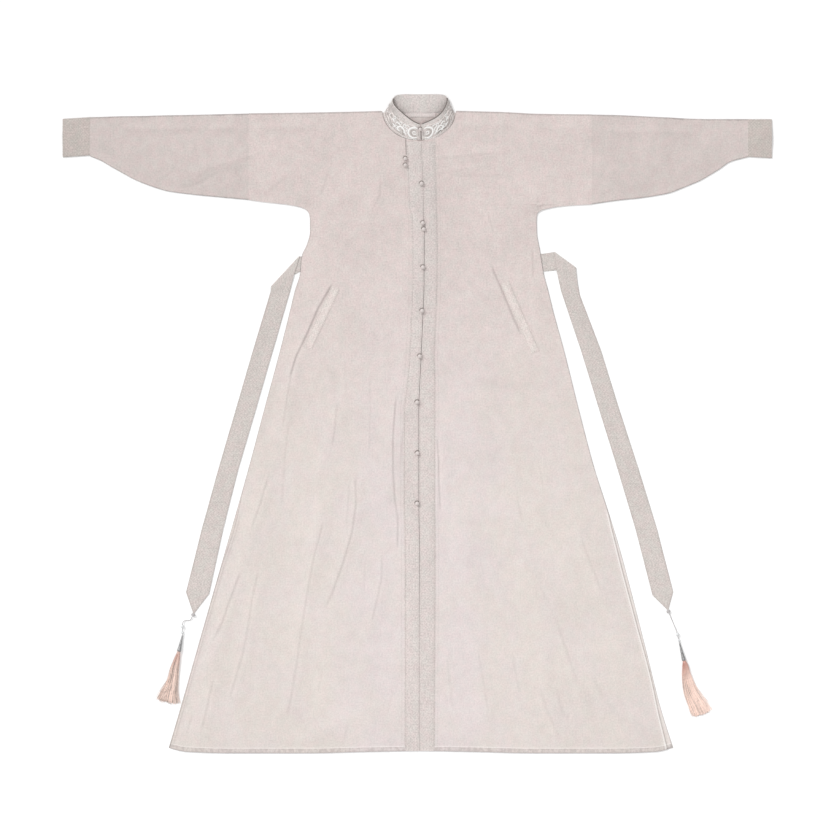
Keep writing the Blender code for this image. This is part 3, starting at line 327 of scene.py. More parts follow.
# --- working out places
def eased(low: float, high: float, value: Array) -> Array:
    """Zero below low, one above high and an S-shaped step between: 3t^2 - 2t^3."""
    share = np.clip((value - low) / (high - low), 0, 1)
    return share * share * (3 - 2 * share)


def hermite(knots: Array, values: Array, slopes: Array, at: Array) -> Array:
    """Cubic through values with given slopes: (2t^3 - 3t^2 + 1) a + (t^3 - 2t^2 + t) h m
    + (3t^2 - 2t^3) b + (t^3 - t^2) h n, with t the share of the step h from a to b."""
    i = np.clip(np.searchsorted(knots, at, side="right") - 1, 0, len(knots) - 2)
    each = (-1,) + (1,) * (values.ndim - 1) if values.ndim > 1 else np.shape(at)
    step = (knots[i + 1] - knots[i]).reshape(each)
    t = (at - knots[i]).reshape(each) / step
    return ((2 * t**3 - 3 * t**2 + 1) * values[i] + (t**3 - 2 * t**2 + t) * step * slopes[i]
            + (3 * t**2 - 2 * t**3) * values[i + 1] + (t**3 - t**2) * step * slopes[i + 1])


def steady(knots: Sequence[float], values: Sequence[float], at: Array) -> Array:
    """Cubic through a table that never passes its rows: each slope is the weighted harmonic
    mean of the runs beside it, and zero where the table turns.

    Args:
        knots: rising places of the rows.
        values: the value at each row.
        at: the places to read, held inside the table.

    Returns:
        The value at each place.
    """
    knots, values = np.asarray(knots, float), np.asarray(values, float)
    run = np.diff(knots)
    rise = np.diff(values) / run
    before, after = rise[:-1], rise[1:]
    first, second = 2 * run[1:] + run[:-1], run[1:] + 2 * run[:-1]
    same = before * after > 0
    safe = np.where(same, before, 1.0), np.where(same, after, 1.0)
    mean = (first + second) / (first / safe[0] + second / safe[1])
    slope = np.concatenate((rise[:1], np.where(same, mean, 0.0), rise[-1:]))
    return hermite(knots, values, slope, np.clip(at, knots[0], knots[-1]))


def smooth_rows(values: Array, at: Array, knots: Optional[Array] = None) -> Array:
    """Cubic curve through rows of values, whose slopes are those of the neighbours.

    Args:
        values: one row of numbers for each knot.
        at: the places to read.
        knots: the rows' places, or none for 0, 1, 2 and so on.

    Returns:
        One row of numbers for each place.
    """
    knots = np.arange(len(values), dtype=float) if knots is None else knots
    return hermite(knots, values, np.gradient(values, knots, axis=0), at)


def unit(vectors: Array) -> Array:
    """The same directions with length one."""
    return vectors / np.maximum(np.linalg.norm(vectors, axis=-1, keepdims=True), 1e-9)


def lengths_along(path: Array) -> Array:
    """Distance of each point of a path from its first, along the path."""
    return np.concatenate(((0.0,), np.cumsum(np.linalg.norm(np.diff(path, axis=0), axis=1))))


def spaced(path: Array, at: Array) -> Array:
    """Points at given distances along a path, in straight runs between its own points."""
    along = lengths_along(path)
    return np.stack([np.interp(at, along, path[:, k]) for k in range(path.shape[1])], axis=-1)


def joined(*columns: Any) -> Array:
    """Arrays side by side as a last axis."""
    return np.stack(np.broadcast_arrays(*columns), axis=-1)


def lifted(points: Array, by: Any) -> Array:
    """The same points, moved up."""
    return points + np.asarray(by, float)[..., None] * UP


def uneven(across: Array, drop: Array, wide: float, long: float, seed: int) -> Array:
    """Smooth uneven field from -1 to 1: seeded random values on a lattice of wide by long
    cells, joined by S-shaped steps in both directions."""
    table = np.random.default_rng(SEED + seed).uniform(-1, 1, (96, 96))
    x, y = across / wide + 40.0, drop / long + 8.0
    i, j = np.floor(x).astype(int), np.floor(y).astype(int)
    u, v = x - i, y - j
    u, v = u * u * (3 - 2 * u), v * v * (3 - 2 * v)
    i, j = i % 95, j % 95
    low = table[i, j] * (1 - u) + table[i + 1, j] * u
    high = table[i, j + 1] * (1 - u) + table[i + 1, j + 1] * u
    return low * (1 - v) + high * v


@dataclass(frozen=True)
class Cut:
    """The robe's cut as it lies: its edges, its gaps and the heights of its layers.

    Every method takes and returns whole arrays of millimetres.
    """

    wall: float = 1.2
    trim: float = 1.0
    gap: float = 0.3
    seam_gap: float = 0.02  # between a panel and the seam line
    crown: float = 2.2
    crown_edge: float = 28.0
    neck_centre: float = -4.0
    neck_half: float = 79.0
    neck_depth: float = 62.5
    underarm_drop: float = 200.0
    hem_drop: float = 1366.0
    hem_lift: float = 6.0
    hem_starts: float = 1100.0
    hem_turn: float = 9.6  # width of the turned and stitched hem at the foot
    slit_turn: float = 6.5  # and at the slits
    slit_top: float = 850.0

    def edge(self, side: Side, drop: Array) -> Array:
        """Reach of the body's side edge; above its table it is the sleeve's join."""
        return steady(*zip(*SIDE_EDGE[side]), drop)

    def join(self, side: Side) -> float:
        """Reach of the seam between the body and the sleeve."""
        return SLEEVE[side][0].reach

    def outer(self, side: Side, drop: Array) -> Array:
        """Reach of a panel's outer edge, just short of the sleeve."""
        edge = self.edge(side, drop)
        short = np.minimum(edge, self.join(side) - self.seam_gap)
        return np.where(drop < self.underarm_drop, short, edge)

    def centre(self, drop: Array) -> Array:
        """Where the centre line runs."""
        return steady(*zip(*CENTRE_LINE), drop)

    def per_side(self, rows: Sequence[tuple], side: Side, at: Array) -> Array:
        """One side's column of a table."""
        places, right, left = zip(*rows)
        return steady(places, left if side is Side.LEFT else right, at)

    def band(self, side: Side, drop: Array) -> Array:
        """Width of the centre-front band."""
        return self.per_side(BAND_WIDTH, side, drop)

    def free_edge(self, side: Side, drop: Array) -> Array:
        """Reach of a front's outer edge, which lies inside the back's at the slit."""
        return self.outer(side, drop) - self.per_side(SLIT_INSET, side, drop)

    def neck(self, side: Side, drop: Array) -> Array:
        """Across of the front neck edge: an ellipse, then the centre line."""
        ratio = np.clip(drop / self.neck_depth, 0, 1)
        ellipse = self.neck_centre + side.value * self.neck_half * np.sqrt(1 - ratio**2)
        half = steady(*zip(*CENTRE_GAP), drop)
        straight = self.centre(drop) + side.value * half
        return np.where(drop < self.neck_depth, ellipse, straight)

    def bend(self, side: Side, across: Array, nominal: Array, edge: Array) -> Array:
        """Drop of each point: rows follow the shoulder at the top and the hem at the foot."""
        shoulder = self.per_side(SHOULDER, side, np.abs(across))
        at_top = np.clip(1 - nominal / 110, 0, 1) * shoulder
        near_hem = np.clip((nominal - self.hem_starts) / (self.hem_drop - self.hem_starts), 0, 1)
        hem = steady(*zip(*HEM_LINE), np.abs(across) / edge)
        return nominal + at_top + near_hem**2 * (hem - self.hem_drop)


@dataclass(frozen=True)
class Lie:
    """How the upper layer lies: broad ridges, narrow creases, rumples and puckered seams."""

    cut: Cut
    rumple: float = 0.55
    ripple: float = 0.35
    pucker: float = 0.45
    pucker_reach: float = 11.0
    swell: float = 0.45  # share of the broad ridges' rise

    def beside(self, start: Array, stop: Array, across: Array, drop: Array) -> tuple:
        """Distance of each place along a line and to its right, and the line's length."""
        run = stop - start
        length = np.hypot(*run)
        ahead = run / length
        x, y = across - start[0], drop - start[1]
        return x * ahead[0] + y * ahead[1], x * ahead[1] - y * ahead[0], length

    def ridges(self, across: Array, drop: Array) -> Array:
        """Sum of broad bells across each ridge, which fade past its two ends."""
        total = np.zeros(np.broadcast(across, drop).shape)
        for ridge in RIDGES:
            along, aside, length = self.beside(np.array(ridge[:2]), np.array(ridge[2:4]), across, drop)
            past = np.maximum(np.maximum(-along, along - length), 0) / ridge.half_width
            total += self.swell * ridge.rise * np.exp(-(aside / ridge.half_width)**2 - 0.5 * past**2)
        return total

    def folds(self, across: Array, drop: Array, dark: bool = False) -> Array:
        """Sum of narrow creases.  Across each, with x the distance to its right over its half
        width, the height is (rise - 2.33 step x) e^(-x^2), in two parts, one of them half as
        wide; it is that of the nearest stretch of the line, and fades past the line's ends and
        grows from them.  With dark set, it sums instead the painted shade in each crease,
        shade e^(-(2 x)^2)."""
        total = np.zeros(np.broadcast(across, drop).shape)
        for crease in FOLDS:
            if dark and not crease.shade:
                continue
            points = np.array(crease.path, float)
            whole = lengths_along(points)
            best = np.full(total.shape, np.inf)
            height = np.zeros(total.shape)
            for k in range(len(points) - 1):
                along, right, length = self.beside(*points[k:k + 2], across, drop)
                held = np.clip(along, 0, length)
                away = np.hypot(along - held, right)
                from_ends = np.minimum(whole[k] + along, whole[-1] - whole[k] - along)
                fade = eased(-1.6 * crease.half_width, 2.5 * crease.half_width, from_ends)
                ratio = right / crease.half_width
                bell = crease.shade * np.exp(-4 * ratio**2)
                if not dark:
                    bell = sum(part * (crease.rise - 2.33 * crease.step * times * ratio) *
                               np.exp(-(times * ratio)**2) for times, part in ((1.0, 0.55), (2.0, 0.45)))
                near = away < best
                best = np.where(near, away, best)
                height = np.where(near, bell * fade, height)
            total += height
        return total

    def rumples(self, across: Array, drop: Array) -> Array:
        """Soft unevenness, longer down the skirt than across it, with finer ripples on it."""
        skirt = eased(380, 700, drop)
        chest = uneven(across, drop, 58, 44, 1)
        flow = uneven(across + 0.18 * np.sign(across) * drop, drop, 34, 210, 2)
        fine = uneven(across, drop, 17, 23, 3)
        return self.rumple * ((1 - skirt) * chest + skirt * flow) + 0.35 * self.ripple * fine

    def height(self, across: Array, drop: Array, margin: Array) -> Array:
        """How far the upper layer stands off the lower one, zero along sewn edges.

        Args:
            across: places across.
            drop: places down.
            margin: distance of each from the nearest sewn edge.

        Returns:
            The height, never under zero.
        """
        inside = 1 - np.exp(-(np.maximum(margin, 0) / self.cut.crown_edge)**2)
        close = 1 - np.exp(-(np.maximum(margin, 0) / 9.0)**2)
        off = inside * (self.cut.crown + self.ridges(across, drop)
                        + self.rumples(across, drop)) + close * self.folds(across, drop)
        seam = np.exp(-margin / self.pucker_reach) * close
        beat = np.sin(across / 3.1 + drop / 3.7 + 2.5 * uneven(across, drop, 40, 40, 4))
        off = off + self.pucker * seam * beat * uneven(across, drop, 55, 55, 5)
        return np.maximum(off, 0.0)


# --- meshes
@dataclass
class Form:
    """Points, faces, cloth coordinates and marks of one piece while it is worked out."""

    points: list = field(default_factory=list)
    faces: dict = field(default_factory=dict)
    weave: list = field(default_factory=list)
    marks: dict = field(default_factory=dict)
    count: int = 0

    def add(self, points: Array, faces: Sequence[Array],
            weave: Optional[Array] = None, **marks: Array) -> None:
        """Add points, and faces that number them from zero.

        Args:
            points: any shape whose last axis is (across, drop, up).
            faces: arrays of faces, each with its own number of corners.
            weave: cloth coordinates of the points, or none for (across, drop).
            marks: one number for each point, by the attribute's name.
        """
        flat = points.reshape(-1, 3)
        weave = flat[:, :2] if weave is None else np.asarray(weave, float).reshape(-1, 2)
        self.points.append(flat)
        self.weave.append(weave)
        for name in set(self.marks) | set(marks):
            rows = self.marks.setdefault(name, [np.zeros(self.count)])
            value = marks.get(name, 0.0)
            rows.append(np.broadcast_to(np.ravel(value).astype(float), len(flat)))
        for block in faces:
            block = np.asarray(block).reshape(-1, np.shape(block)[-1])
            self.faces.setdefault(block.shape[1], []).append(block + self.count)
        self.count += len(flat)

    def shell(self, face: Array, lining: Array, quads: Array, sides: Sequence[Array],
              weave: Optional[Array], marks: dict) -> None:
        """Add two sheets, the lining turned over, with the faces that join their rims."""
        both = np.concatenate((face.reshape(-1, 3), lining.reshape(-1, 3)))
        weave = face[..., :2] if weave is None else weave
        doubled = {name: np.tile(np.broadcast_to(value, face.shape[:2]).ravel(), 2)
                   for name, value in marks.items()}
        self.add(both, (quads, quads[:, ::-1] + face[..., 0].size, *sides),
                 np.tile(np.asarray(weave, float).reshape(-1, 2), (2, 1)), **doubled)

    def wall(self, face: Array, lining: Array, weave: Optional[Array] = None, **marks: Any) -> None:
        """Add a closed wall between two grids of points with the same rows and columns."""
        index = numbered(face[..., 0].shape)
        rim = np.concatenate((index[0, :-1], index[:-1, -1], index[-1, :0:-1], index[:0:-1, 0]))
        self.shell(face, lining, grid_quads(index), (rim_quads(rim, index.size),), weave, marks)

    def hose(self, outer: Array, inner: Array, **marks: Any) -> None:
        """Add the closed wall of an open-ended tube between two sets of rings."""
        index = numbered(outer[..., 0].shape)
        ends = (rim_quads(index[0], index.size), rim_quads(index[-1], index.size)[:, ::-1])
        quads = grid_quads(np.concatenate((index, index[:, :1]), axis=1))
        self.shell(outer, inner, quads, ends, None, marks)

    def rods(self, rings: Array, weave: Optional[Array] = None, **marks: Any) -> None:
        """Add round closed rods, given as (rods, rings, points of a ring, 3), with flat ends."""
        index = numbered(rings.shape[:3])
        round_again = np.concatenate((index, index[:, :, :1]), axis=2)
        a, b = round_again[:, :-1, :-1], round_again[:, :-1, 1:]
        c, d = round_again[:, 1:, 1:], round_again[:, 1:, :-1]
        quads = joined(a, b, c, d)
        caps = np.concatenate((index[:, 0, ::-1], index[:, -1]))
        self.add(rings, (quads, caps), weave, **marks)

    def cord(self, path: Array, width: Any, height: Any, sides: int, pitch: float, tone: float,
             turn: float = 0.0, groove: float = 0.0, above: Array = UP) -> None:
        """Add one rod along a path, whose two plies turn so many radians a millimetre; pitch
        is the distance between its sides in cloth coordinates."""
        along = lengths_along(path)
        rings = swept(path[None], width, height, sides, above, along[None] * turn, 2, groove)
        self.rods(rings, joined(along[:, None], np.arange(sides) * pitch), tone=tone)

    def turned(self, profile: Array, base: Array, ahead: Array, sides: int, **marks: Any) -> None:
        """Add a closed profile of (distance along, radius) turned about a line.

        Args:
            profile: closed outline, whose points on the axis have radius zero.
            base: where the line starts.
            ahead: the line's direction.
            sides: number of profiles round it.
            marks: one number for each point, or for all.
        """
        ahead = unit(np.asarray(ahead, float))
        aside = unit(np.cross(ahead, UP if abs(ahead[2]) < 0.9 else (0.0, 1.0, 0.0)))
        third = np.cross(ahead, aside)
        angle = np.linspace(0, 2 * math.pi, sides, endpoint=False)[:, None]
        spoke = np.cos(angle) * aside + np.sin(angle) * third
        radius = np.maximum(profile[:, 1], 0.01)
        points = (np.asarray(base, float) + profile[None, :, :1] * ahead
                  + radius[None, :, None] * spoke[:, None])
        index = numbered(points.shape[:2])
        ring = np.concatenate((index, index[:1]))
        quads = grid_quads(np.concatenate((ring, ring[:, :1]), axis=1))
        weave = joined(profile[None, :, 0], angle * 4.0)
        self.add(points, (quads,), weave, **marks)

    def build(self, name: str, stuff: "Stuff", node: str = "", sharp: float = 45.0) -> Object:
        """Make the piece an object, with its faces outwards, and let it ride on the robe.

        Args:
            name: the object's name.
            stuff: what it is made of.
            node: the frame's node that it replaces, if any.
            sharp: angle in degrees past which an edge isn't shaded smooth.

        Returns:
            The object.
        """
        metres = to_metres(np.concatenate(self.points))
        blocks = [np.concatenate(rows) for rows in self.faces.values()]
        if sum(signed_volume(metres, block) for block in blocks) < 0:
            blocks = [block[:, ::-1] for block in blocks]
        corners = np.concatenate([block.ravel() for block in blocks])
        sizes = np.concatenate([np.full(len(block), block.shape[1]) for block in blocks])
        mesh = bpy.data.meshes.new(name)
        mesh.vertices.add(len(metres))
        mesh.vertices.foreach_set("co", metres.astype(np.float32).ravel())
        mesh.loops.add(len(corners))
        mesh.loops.foreach_set("vertex_index", corners.astype(np.int32))
        mesh.polygons.add(len(sizes))
        starts = np.concatenate(((0,), np.cumsum(sizes)[:-1]))
        mesh.polygons.foreach_set("loop_start", starts.astype(np.int32))
        mesh.update(calc_edges=True)
        weave = np.concatenate(self.weave) * MM
        layer = mesh.uv_layers.new(name="cloth")
        layer.uv.foreach_set("vector", weave[corners].astype(np.float32).ravel())
        for mark, rows in self.marks.items():
            values = np.concatenate(rows).astype(np.float32)
            mesh.attributes.new(mark, "FLOAT", "POINT").data.foreach_set("value", values)
        mesh.validate()
        mesh.shade_smooth()
        mesh.set_sharp_from_angle(angle=math.radians(sharp))
        mesh.materials.append(stuff.value.material())
        item = placed(name, mesh)
        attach(item, "root")
        if node:
            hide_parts(node)
        LOG.info("%s: %d points, %d faces", name, len(metres), len(sizes))
        return item


def lay(name: str, stuff: "Stuff", node: str, walls: tuple, flat: tuple, area: float,
        rests_on: Sequence[str] = (), held: str = "laid", weave: Optional[Array] = None,
        **marks: Any) -> None:
    """Args:
        name: the object's name.
        stuff: what it is made of.
        node: the frame's node that it replaces, if any.
        walls: its face and its lining, as grids of points.
        flat: width and length of the cut piece, in metres; not used.
        area: its area in square metres; not used.
        rests_on: names of the pieces under it; not used.
        held: how it lies; not used.
        weave: cloth coordinates, or none for (across, drop).
        marks: one number for each point, or for all.
    """
    form = Form()
    form.wall(*walls, weave, **marks)
    form.build(name, stuff, node)


def placed(name: str, data: bpy.types.ID) -> Object:
    """An object with some data, in the scene."""
    item = bpy.data.objects.new(name, data)
    bpy.context.scene.collection.objects.link(item)
    return item


def to_metres(points: Array) -> Array:
    """Points in the frame, from (across, drop, up) in millimetres."""
    return joined(points[:, 0] + SHIFT_X, SHIFT_Y - points[:, 1], points[:, 2]) * MM


def numbered(shape: tuple) -> Array:
    """The numbers of a grid's points, in its shape."""
    return np.arange(math.prod(shape)).reshape(shape)


def rim_quads(ring: Array, count: int) -> Array:
    """Quads that join a closed row of points to the same row of a sheet count points on."""
    after = np.roll(ring, -1)
    return joined(after, ring, ring + count, after + count)


def grid_quads(index: Array) -> Array:
    """Quads between the neighbours of a grid of point numbers."""
    return joined(index[:-1, :-1], index[:-1, 1:], index[1:, 1:], index[1:, :-1]).reshape(-1, 4)


def signed_volume(points: Array, faces: Array) -> float:
    """Six times the volume that faces close in, above zero if they point outwards: the sum
    over each fan of triangles of a . (b x c)."""
    first = points[faces[:, 0]]
    total = 0.0
    for k in range(1, faces.shape[1] - 1):
        total += float(np.einsum("ij,ij->", first, np.cross(points[faces[:, k]], points[faces[:, k + 1]])))
    return total


def swept(paths: Array, width: Any, height: Any, sides: int, above: Any = UP,
          twist: Any = 0.0, plies: int = 0, groove: float = 0.0) -> Array:
    """Rings of rods along paths: round each point of a path goes an ellipse, as wide as width
    and as tall as height, square to the path; plies of a cord make it swell and shrink as
    1 + groove cos(plies (angle - twist)).

    Args:
        paths: (rods, points, 3) centrelines.
        width: full width, for all or for each point.
        height: full height, for all or for each point.
        sides: points of a ring.
        above: the direction that is up for each point.
        twist: how far the plies have turned at each point, in radians.
        plies: strands of a twisted cord.
        groove: depth of the grooves between them, as a share of the radius.

    Returns:
        (rods, points, sides, 3) rings.
    """
    ahead = unit(np.gradient(paths, axis=1))
    above = np.broadcast_to(above, paths.shape)
    aside = unit(np.cross(ahead, above))
    third = unit(np.cross(aside, ahead))
    angle = np.linspace(0, 2 * math.pi, sides, endpoint=False)
    swell = 1 + groove * np.cos(plies * (angle - np.asarray(twist, float)[..., None]))
    wide = np.asarray(width, float)[..., None] / 2 * np.cos(angle) * swell
    tall = np.asarray(height, float)[..., None] / 2 * np.sin(angle) * swell
    return (paths[:, :, None] + wide[..., None] * aside[:, :, None] + tall[..., None] * third[:, :, None])


# --- finishes
def linear(colour: Sequence[float], times: float = 1.0) -> tuple:
    """Scene-linear colour of an 8-bit display colour, brightened or darkened."""
    return tuple(times * ((v / 255 + 0.055) / 1.055) ** 2.4 for v in colour) + (1.0,)


def operator(operation: str, swap: bool = False) -> Callable:
    """A method that joins a wire and what it is given by one Math node."""
    def method(self: "Wire", *others: Any) -> "Wire":
        """One Math node."""
        values = (self, *others)
        return self.shade.math(operation, *(values[::-1] if swap else values))
    return method


class Wire:
    """A number in a material's node tree; arithmetic on it adds Math nodes."""

    def __init__(self, shade: "Shade", socket: NodeSocket) -> None:
        """Hold a socket and the tree it belongs to."""
        self.shade, self.socket = shade, socket

    __add__ = __radd__ = operator("ADD")
    __mul__ = __rmul__ = operator("MULTIPLY")
    __sub__, __rsub__ = operator("SUBTRACT"), operator("SUBTRACT", swap=True)
    __truediv__, __abs__ = operator("DIVIDE"), operator("ABSOLUTE")
    sine, least = operator("SINE"), operator("MINIMUM")

    def held(self) -> "Wire":
        """The value held between zero and one."""
        return self.shade.math("MINIMUM", self.shade.math("MAXIMUM", self, 0.0), 1.0)

    def eased(self, low: float, high: float) -> "Wire":
        """Zero at low, one at high, and an S-shaped step between."""
        node = self.shade.node("ShaderNodeMapRange", {"interpolation_type": "SMOOTHSTEP"},
                               {"Value": self, "From Min": low, "From Max": high})
        return Wire(self.shade, node.outputs["Result"])


class Shade:
    """The node tree of one material."""

    def __init__(self, name: str) -> None:
        """Start a material with its Principled shader."""
        self.material = bpy.data.materials.new(name)
        self.material.use_nodes = True
        self.tree = self.material.node_tree
        self.shader = self.tree.nodes["Principled BSDF"]

    def node(self, kind: str, settings: Optional[dict] = None, values: Optional[dict] = None
             ) -> bpy.types.Node:
        """Add one node.

        Args:
            kind: the node's type.
            settings: its own properties, which are set first.
            values: numbers, wires or sockets for its inputs, by name or number.

        Returns:
            The node.
        """
        node = self.tree.nodes.new(kind)
        for key, value in (settings or {}).items():
            setattr(node, key, value)
        for key, value in (values or {}).items():
            self.plug(value, node.inputs[key])
        return node

    def plug(self, value: Any, socket: NodeSocket) -> None:
        """Link a wire or a socket to an input, or set a constant on it."""
        if isinstance(value, Wire):
            self.tree.links.new(value.socket, socket)
        elif isinstance(value, NodeSocket):
            self.tree.links.new(value, socket)
        else:
            socket.default_value = value

    def math(self, operation: str, *values: Any) -> Wire:
        """One Math node."""
        node = self.node("ShaderNodeMath", {"operation": operation}, dict(enumerate(values)))
        return Wire(self, node.outputs[0])

    def blend(self, share: Any, first: Any, second: Any) -> NodeSocket:
        """Colour between two colours."""
        node = self.node("ShaderNodeMix", {"data_type": "RGBA"}, {0: share, 6: first, 7: second})
        return node.outputs[2]

    def cloth(self) -> tuple:
        """The piece's own cloth coordinates, in millimetres."""
        node = self.node("ShaderNodeUVMap", {"uv_map": "cloth"})
        split = self.node("ShaderNodeSeparateXYZ", None, {0: node.outputs["UV"]})
        return Wire(self, split.outputs[0]) / MM, Wire(self, split.outputs[1]) / MM

    def mark(self, name: str) -> Wire:
        """One of the piece's marks."""
        node = self.node("ShaderNodeAttribute", {"attribute_name": name})
        return Wire(self, node.outputs["Fac"])

    def grain(self, x: Any, y: Any, detail: float = 2.0, rough: float = 0.5) -> Wire:
        """Noise at a place, about a half."""
        place = self.node("ShaderNodeCombineXYZ", None, {0: x, 1: y})
        node = self.node("ShaderNodeTexNoise", {"noise_dimensions": "2D"}, {
            "Vector": place.outputs[0], "Scale": 1.0, "Detail": detail, "Roughness": rough})
        return Wire(self, node.outputs["Fac"])

    def set(self, **values: Any) -> None:
        """Set or link the shader's own inputs, named with underscores for spaces."""
        for key, value in values.items():
            self.plug(value, self.shader.inputs[key.replace("_", " ")])

    def bump(self, height: Any, depth: float, strength: float = 1.0) -> NodeSocket:
        """Normal of a relief whose height of one is depth millimetres."""
        node = self.node("ShaderNodeBump", None,
                         {"Strength": strength, "Distance": depth * MM, "Height": height})
        return node.outputs["Normal"]


@dataclass(frozen=True)
class Finish:
    """What a piece is made of."""

    name: str
    slot: str
    colour: tuple
    roughness: float

    def material(self) -> bpy.types.Material:
        """The finish's material, made once."""
        made = bpy.data.materials.get(self.name)
        if made is None:
            shade = Shade(self.name)
            self.paint(shade)
            made = shade.material
        return made

    def paint(self, shade: Shade) -> None:
        """A plain surface."""
        shade.set(Base_Color=linear(self.colour), Roughness=self.roughness)


@dataclass(frozen=True)
class Cloth(Finish):
    """Plain-woven cloth: round threads over and under each other, with slubs along both."""

    pitch: float = 0.62  # from thread to thread
    depth: float = 0.16  # how deep the weave is
    slub: float = 0.10
    mottle: float = 0.22
    mottle_size: float = 3.4  # of its patches, in millimetres
    patches: float = 0.45  # of soft patches as wide as a thumb
    hue: float = 0.16  # how far patches lean to pink and to grey green
    figure: float = 0.0  # strength of a small woven diaper figure
    figure_size: float = 6.4
    sheen: float = 0.12
    edge_shade: float = 0.22
    edge_width: float = 2.2
    fade: float = 0.0  # painted light: how far it is paler towards the foot

    def paint(self, shade: Shade) -> None:
        """Weave, slubs, mottle and a patchy turned hem, with painted light and shade: a highlight
        along the hem's ridge and on the mark pale, shade in creases and along a ragged edge, and,
        with fade, paler cloth towards the foot.
        """
        x, y = shade.cloth()
        warp, weft = (x * (math.pi / self.pitch)).sine(), (y * (math.pi / self.pitch)).sine()
        over = (warp * weft * 3.0 + 0.5).held()
        wide, tall = abs(warp), abs(weft)
        thread = over * (wide * 0.7 + tall * 0.3) + (1 - over) * (tall * 0.7 + wide * 0.3)
        along = shade.grain(x * 0.045, y * 1.15, 3.0, 0.6)
        down = shade.grain(x * 1.15, y * 0.045, 3.0, 0.6)
        grains = shade.grain(x / self.mottle_size, y / self.mottle_size, 3.0, 0.62)
        broad = shade.grain(x * 0.011, y * 0.009, 2.0)
        patchy = shade.grain(x * 0.052 + 9.0, y * 0.044, 3.0, 0.6)
        tone = ((along + down - 1.0) * (self.slub * 5) + (grains - 0.5) * (self.mottle * 5)
                + (broad - 0.5) * 0.35 + (patchy - 0.5) * self.patches + thread * 0.12 + 0.44)
        relief = thread + (along + down) * 0.9 + grains * 0.5
        if self.figure:
            turn = math.pi / self.figure_size
            lattice = abs(((x + y) * turn).sine()).least(abs(((x - y) * turn).sine()))
            woven = lattice.eased(0.12, 0.34) * self.figure
            tone = tone + woven * (grains * 1.4 + 0.2) - self.figure * 0.55
            relief = relief + woven * 0.8
        colour = shade.blend(tone.held(), linear(self.colour, 0.80), linear(self.colour, 1.16))
        lean = shade.grain(x * 0.055 + 40.0, y * 0.055, 3.0, 0.6).eased(0.3, 0.7)
        tint = shade.blend(lean, (1.02, 0.985, 0.985, 1), (0.985, 1.01, 0.995, 1))
        node = shade.node("ShaderNodeMix", {"data_type": "RGBA", "blend_type": "MULTIPLY"},
                          {0: self.hue * 6, 6: colour, 7: tint})
        colour = node.outputs[2]
        # Painted light: the cloth grows paler towards the foot, tinted by noise and by the distance from
        # the centre line.
        if self.fade:
            glow = shade.grain(x * 0.016 + 80.0, y * 0.012, 2.0).eased(0.35, 0.65)
            warm = (abs(x).eased(60.0, 240.0) * 0.7 + glow * 0.6 - 0.15).held()
            far = shade.blend(warm, (0.755, 0.73, 0.765, 1), (0.74, 0.746, 0.66, 1))
            colour = shade.blend(y.eased(150.0, 900.0) * self.fade, colour, far)
        hem = shade.mark("hem")
        blotches = shade.grain(x * 0.16, y * 0.1, 3.0, 0.6)
        turned = (1 - hem.eased(0.88, 1.02)) * (blotches.eased(0.38, 0.66) + 0.25)
        colour = shade.blend(turned * 0.42, colour, linear(self.colour, 0.62))
        # Painted shade in the creases, from the mark crease.
        colour = shade.blend(shade.mark("crease") * 0.3, colour, linear(self.colour, 0.5))
        # Painted highlights: a pale line along the upper edge of the turned hem, and the mark pale by the
        # slits.
        ridge = (1 - abs(hem - 1.03).eased(0.0, 0.13)) * (1.25 - blotches)
        pale = (ridge * 0.45 + shade.mark("pale") * 0.8).held()
        colour = shade.blend(pale, colour, linear((250, 247, 244)))
        # Painted shade along the free edges, made ragged by noise.
        ragged = (patchy - 0.5) * 1.2 + (blotches - 0.5) * 1.6
        edge = (shade.mark("edge") + ragged).eased(0.0, self.edge_width)
        colour = shade.blend((1 - edge) * self.edge_shade, colour, linear(self.colour, 0.42))
        shade.set(Base_Color=colour, Roughness=self.roughness, Sheen_Weight=self.sheen, Sheen_Roughness=0.5,
                  Specular_IOR_Level=0.25, Normal=shade.bump(relief, self.depth, 0.55))


@dataclass(frozen=True)
class Thread(Finish):
    """Silk or cotton thread: fine twisted filaments with a soft gloss and uneven tone."""

    spread: float = 0.25  # from the darkest thread to the lightest
    root: tuple = ()  # colour at the mark "root", or none
    strand: float = 0.5  # width of one filament, in millimetres along the thread
    gloss: float = 0.4

    def paint(self, shade: Shade) -> None:
        """Tone from the mark "tone", fine stripes round the thread, and the colour at its root."""
        x, y = shade.cloth()
        stripes = ((x + y * 0.35) * (2 * math.pi / self.strand)).sine() * 0.5 + 0.5
        tone = shade.mark("tone") + stripes * 0.25 + shade.grain(x * 0.3, y * 0.3) * 0.3 - 0.28
        colour = shade.blend(tone.held(), linear(self.colour, 1 - self.spread),
                             linear(self.colour, 1 + self.spread * 0.5))
        if self.root:
            colour = shade.blend(shade.mark("root").held(), colour, linear(self.root))
        shade.set(Base_Color=colour, Roughness=self.roughness, Specular_IOR_Level=self.gloss,
                  Sheen_Weight=0.1, Normal=shade.bump(stripes, 0.1, 0.5))


@dataclass(frozen=True)
class Metal(Finish):
    """Polished white metal with a darker patina in its hollows and fine turned lines."""

    patina: tuple = (138, 136, 135)

    def paint(self, shade: Shade) -> None:
        """Patina from the mark "hollow" and from noise, turned lines in the relief."""
        x, y = shade.cloth()
        lines = (x * 9.0).sine() * 0.5 + 0.5
        wear = shade.grain(x * 0.8, y * 0.5, 4.0)
        dark = (shade.mark("hollow") + (wear - 0.5) * 0.9).held()
        colour = shade.blend(dark, linear(self.colour), linear(self.patina))
        shade.set(Base_Color=colour, Metallic=1.0, Roughness=wear * 0.25 + (self.roughness - 0.1),
                  Normal=shade.bump(lines, 0.03, 0.6))


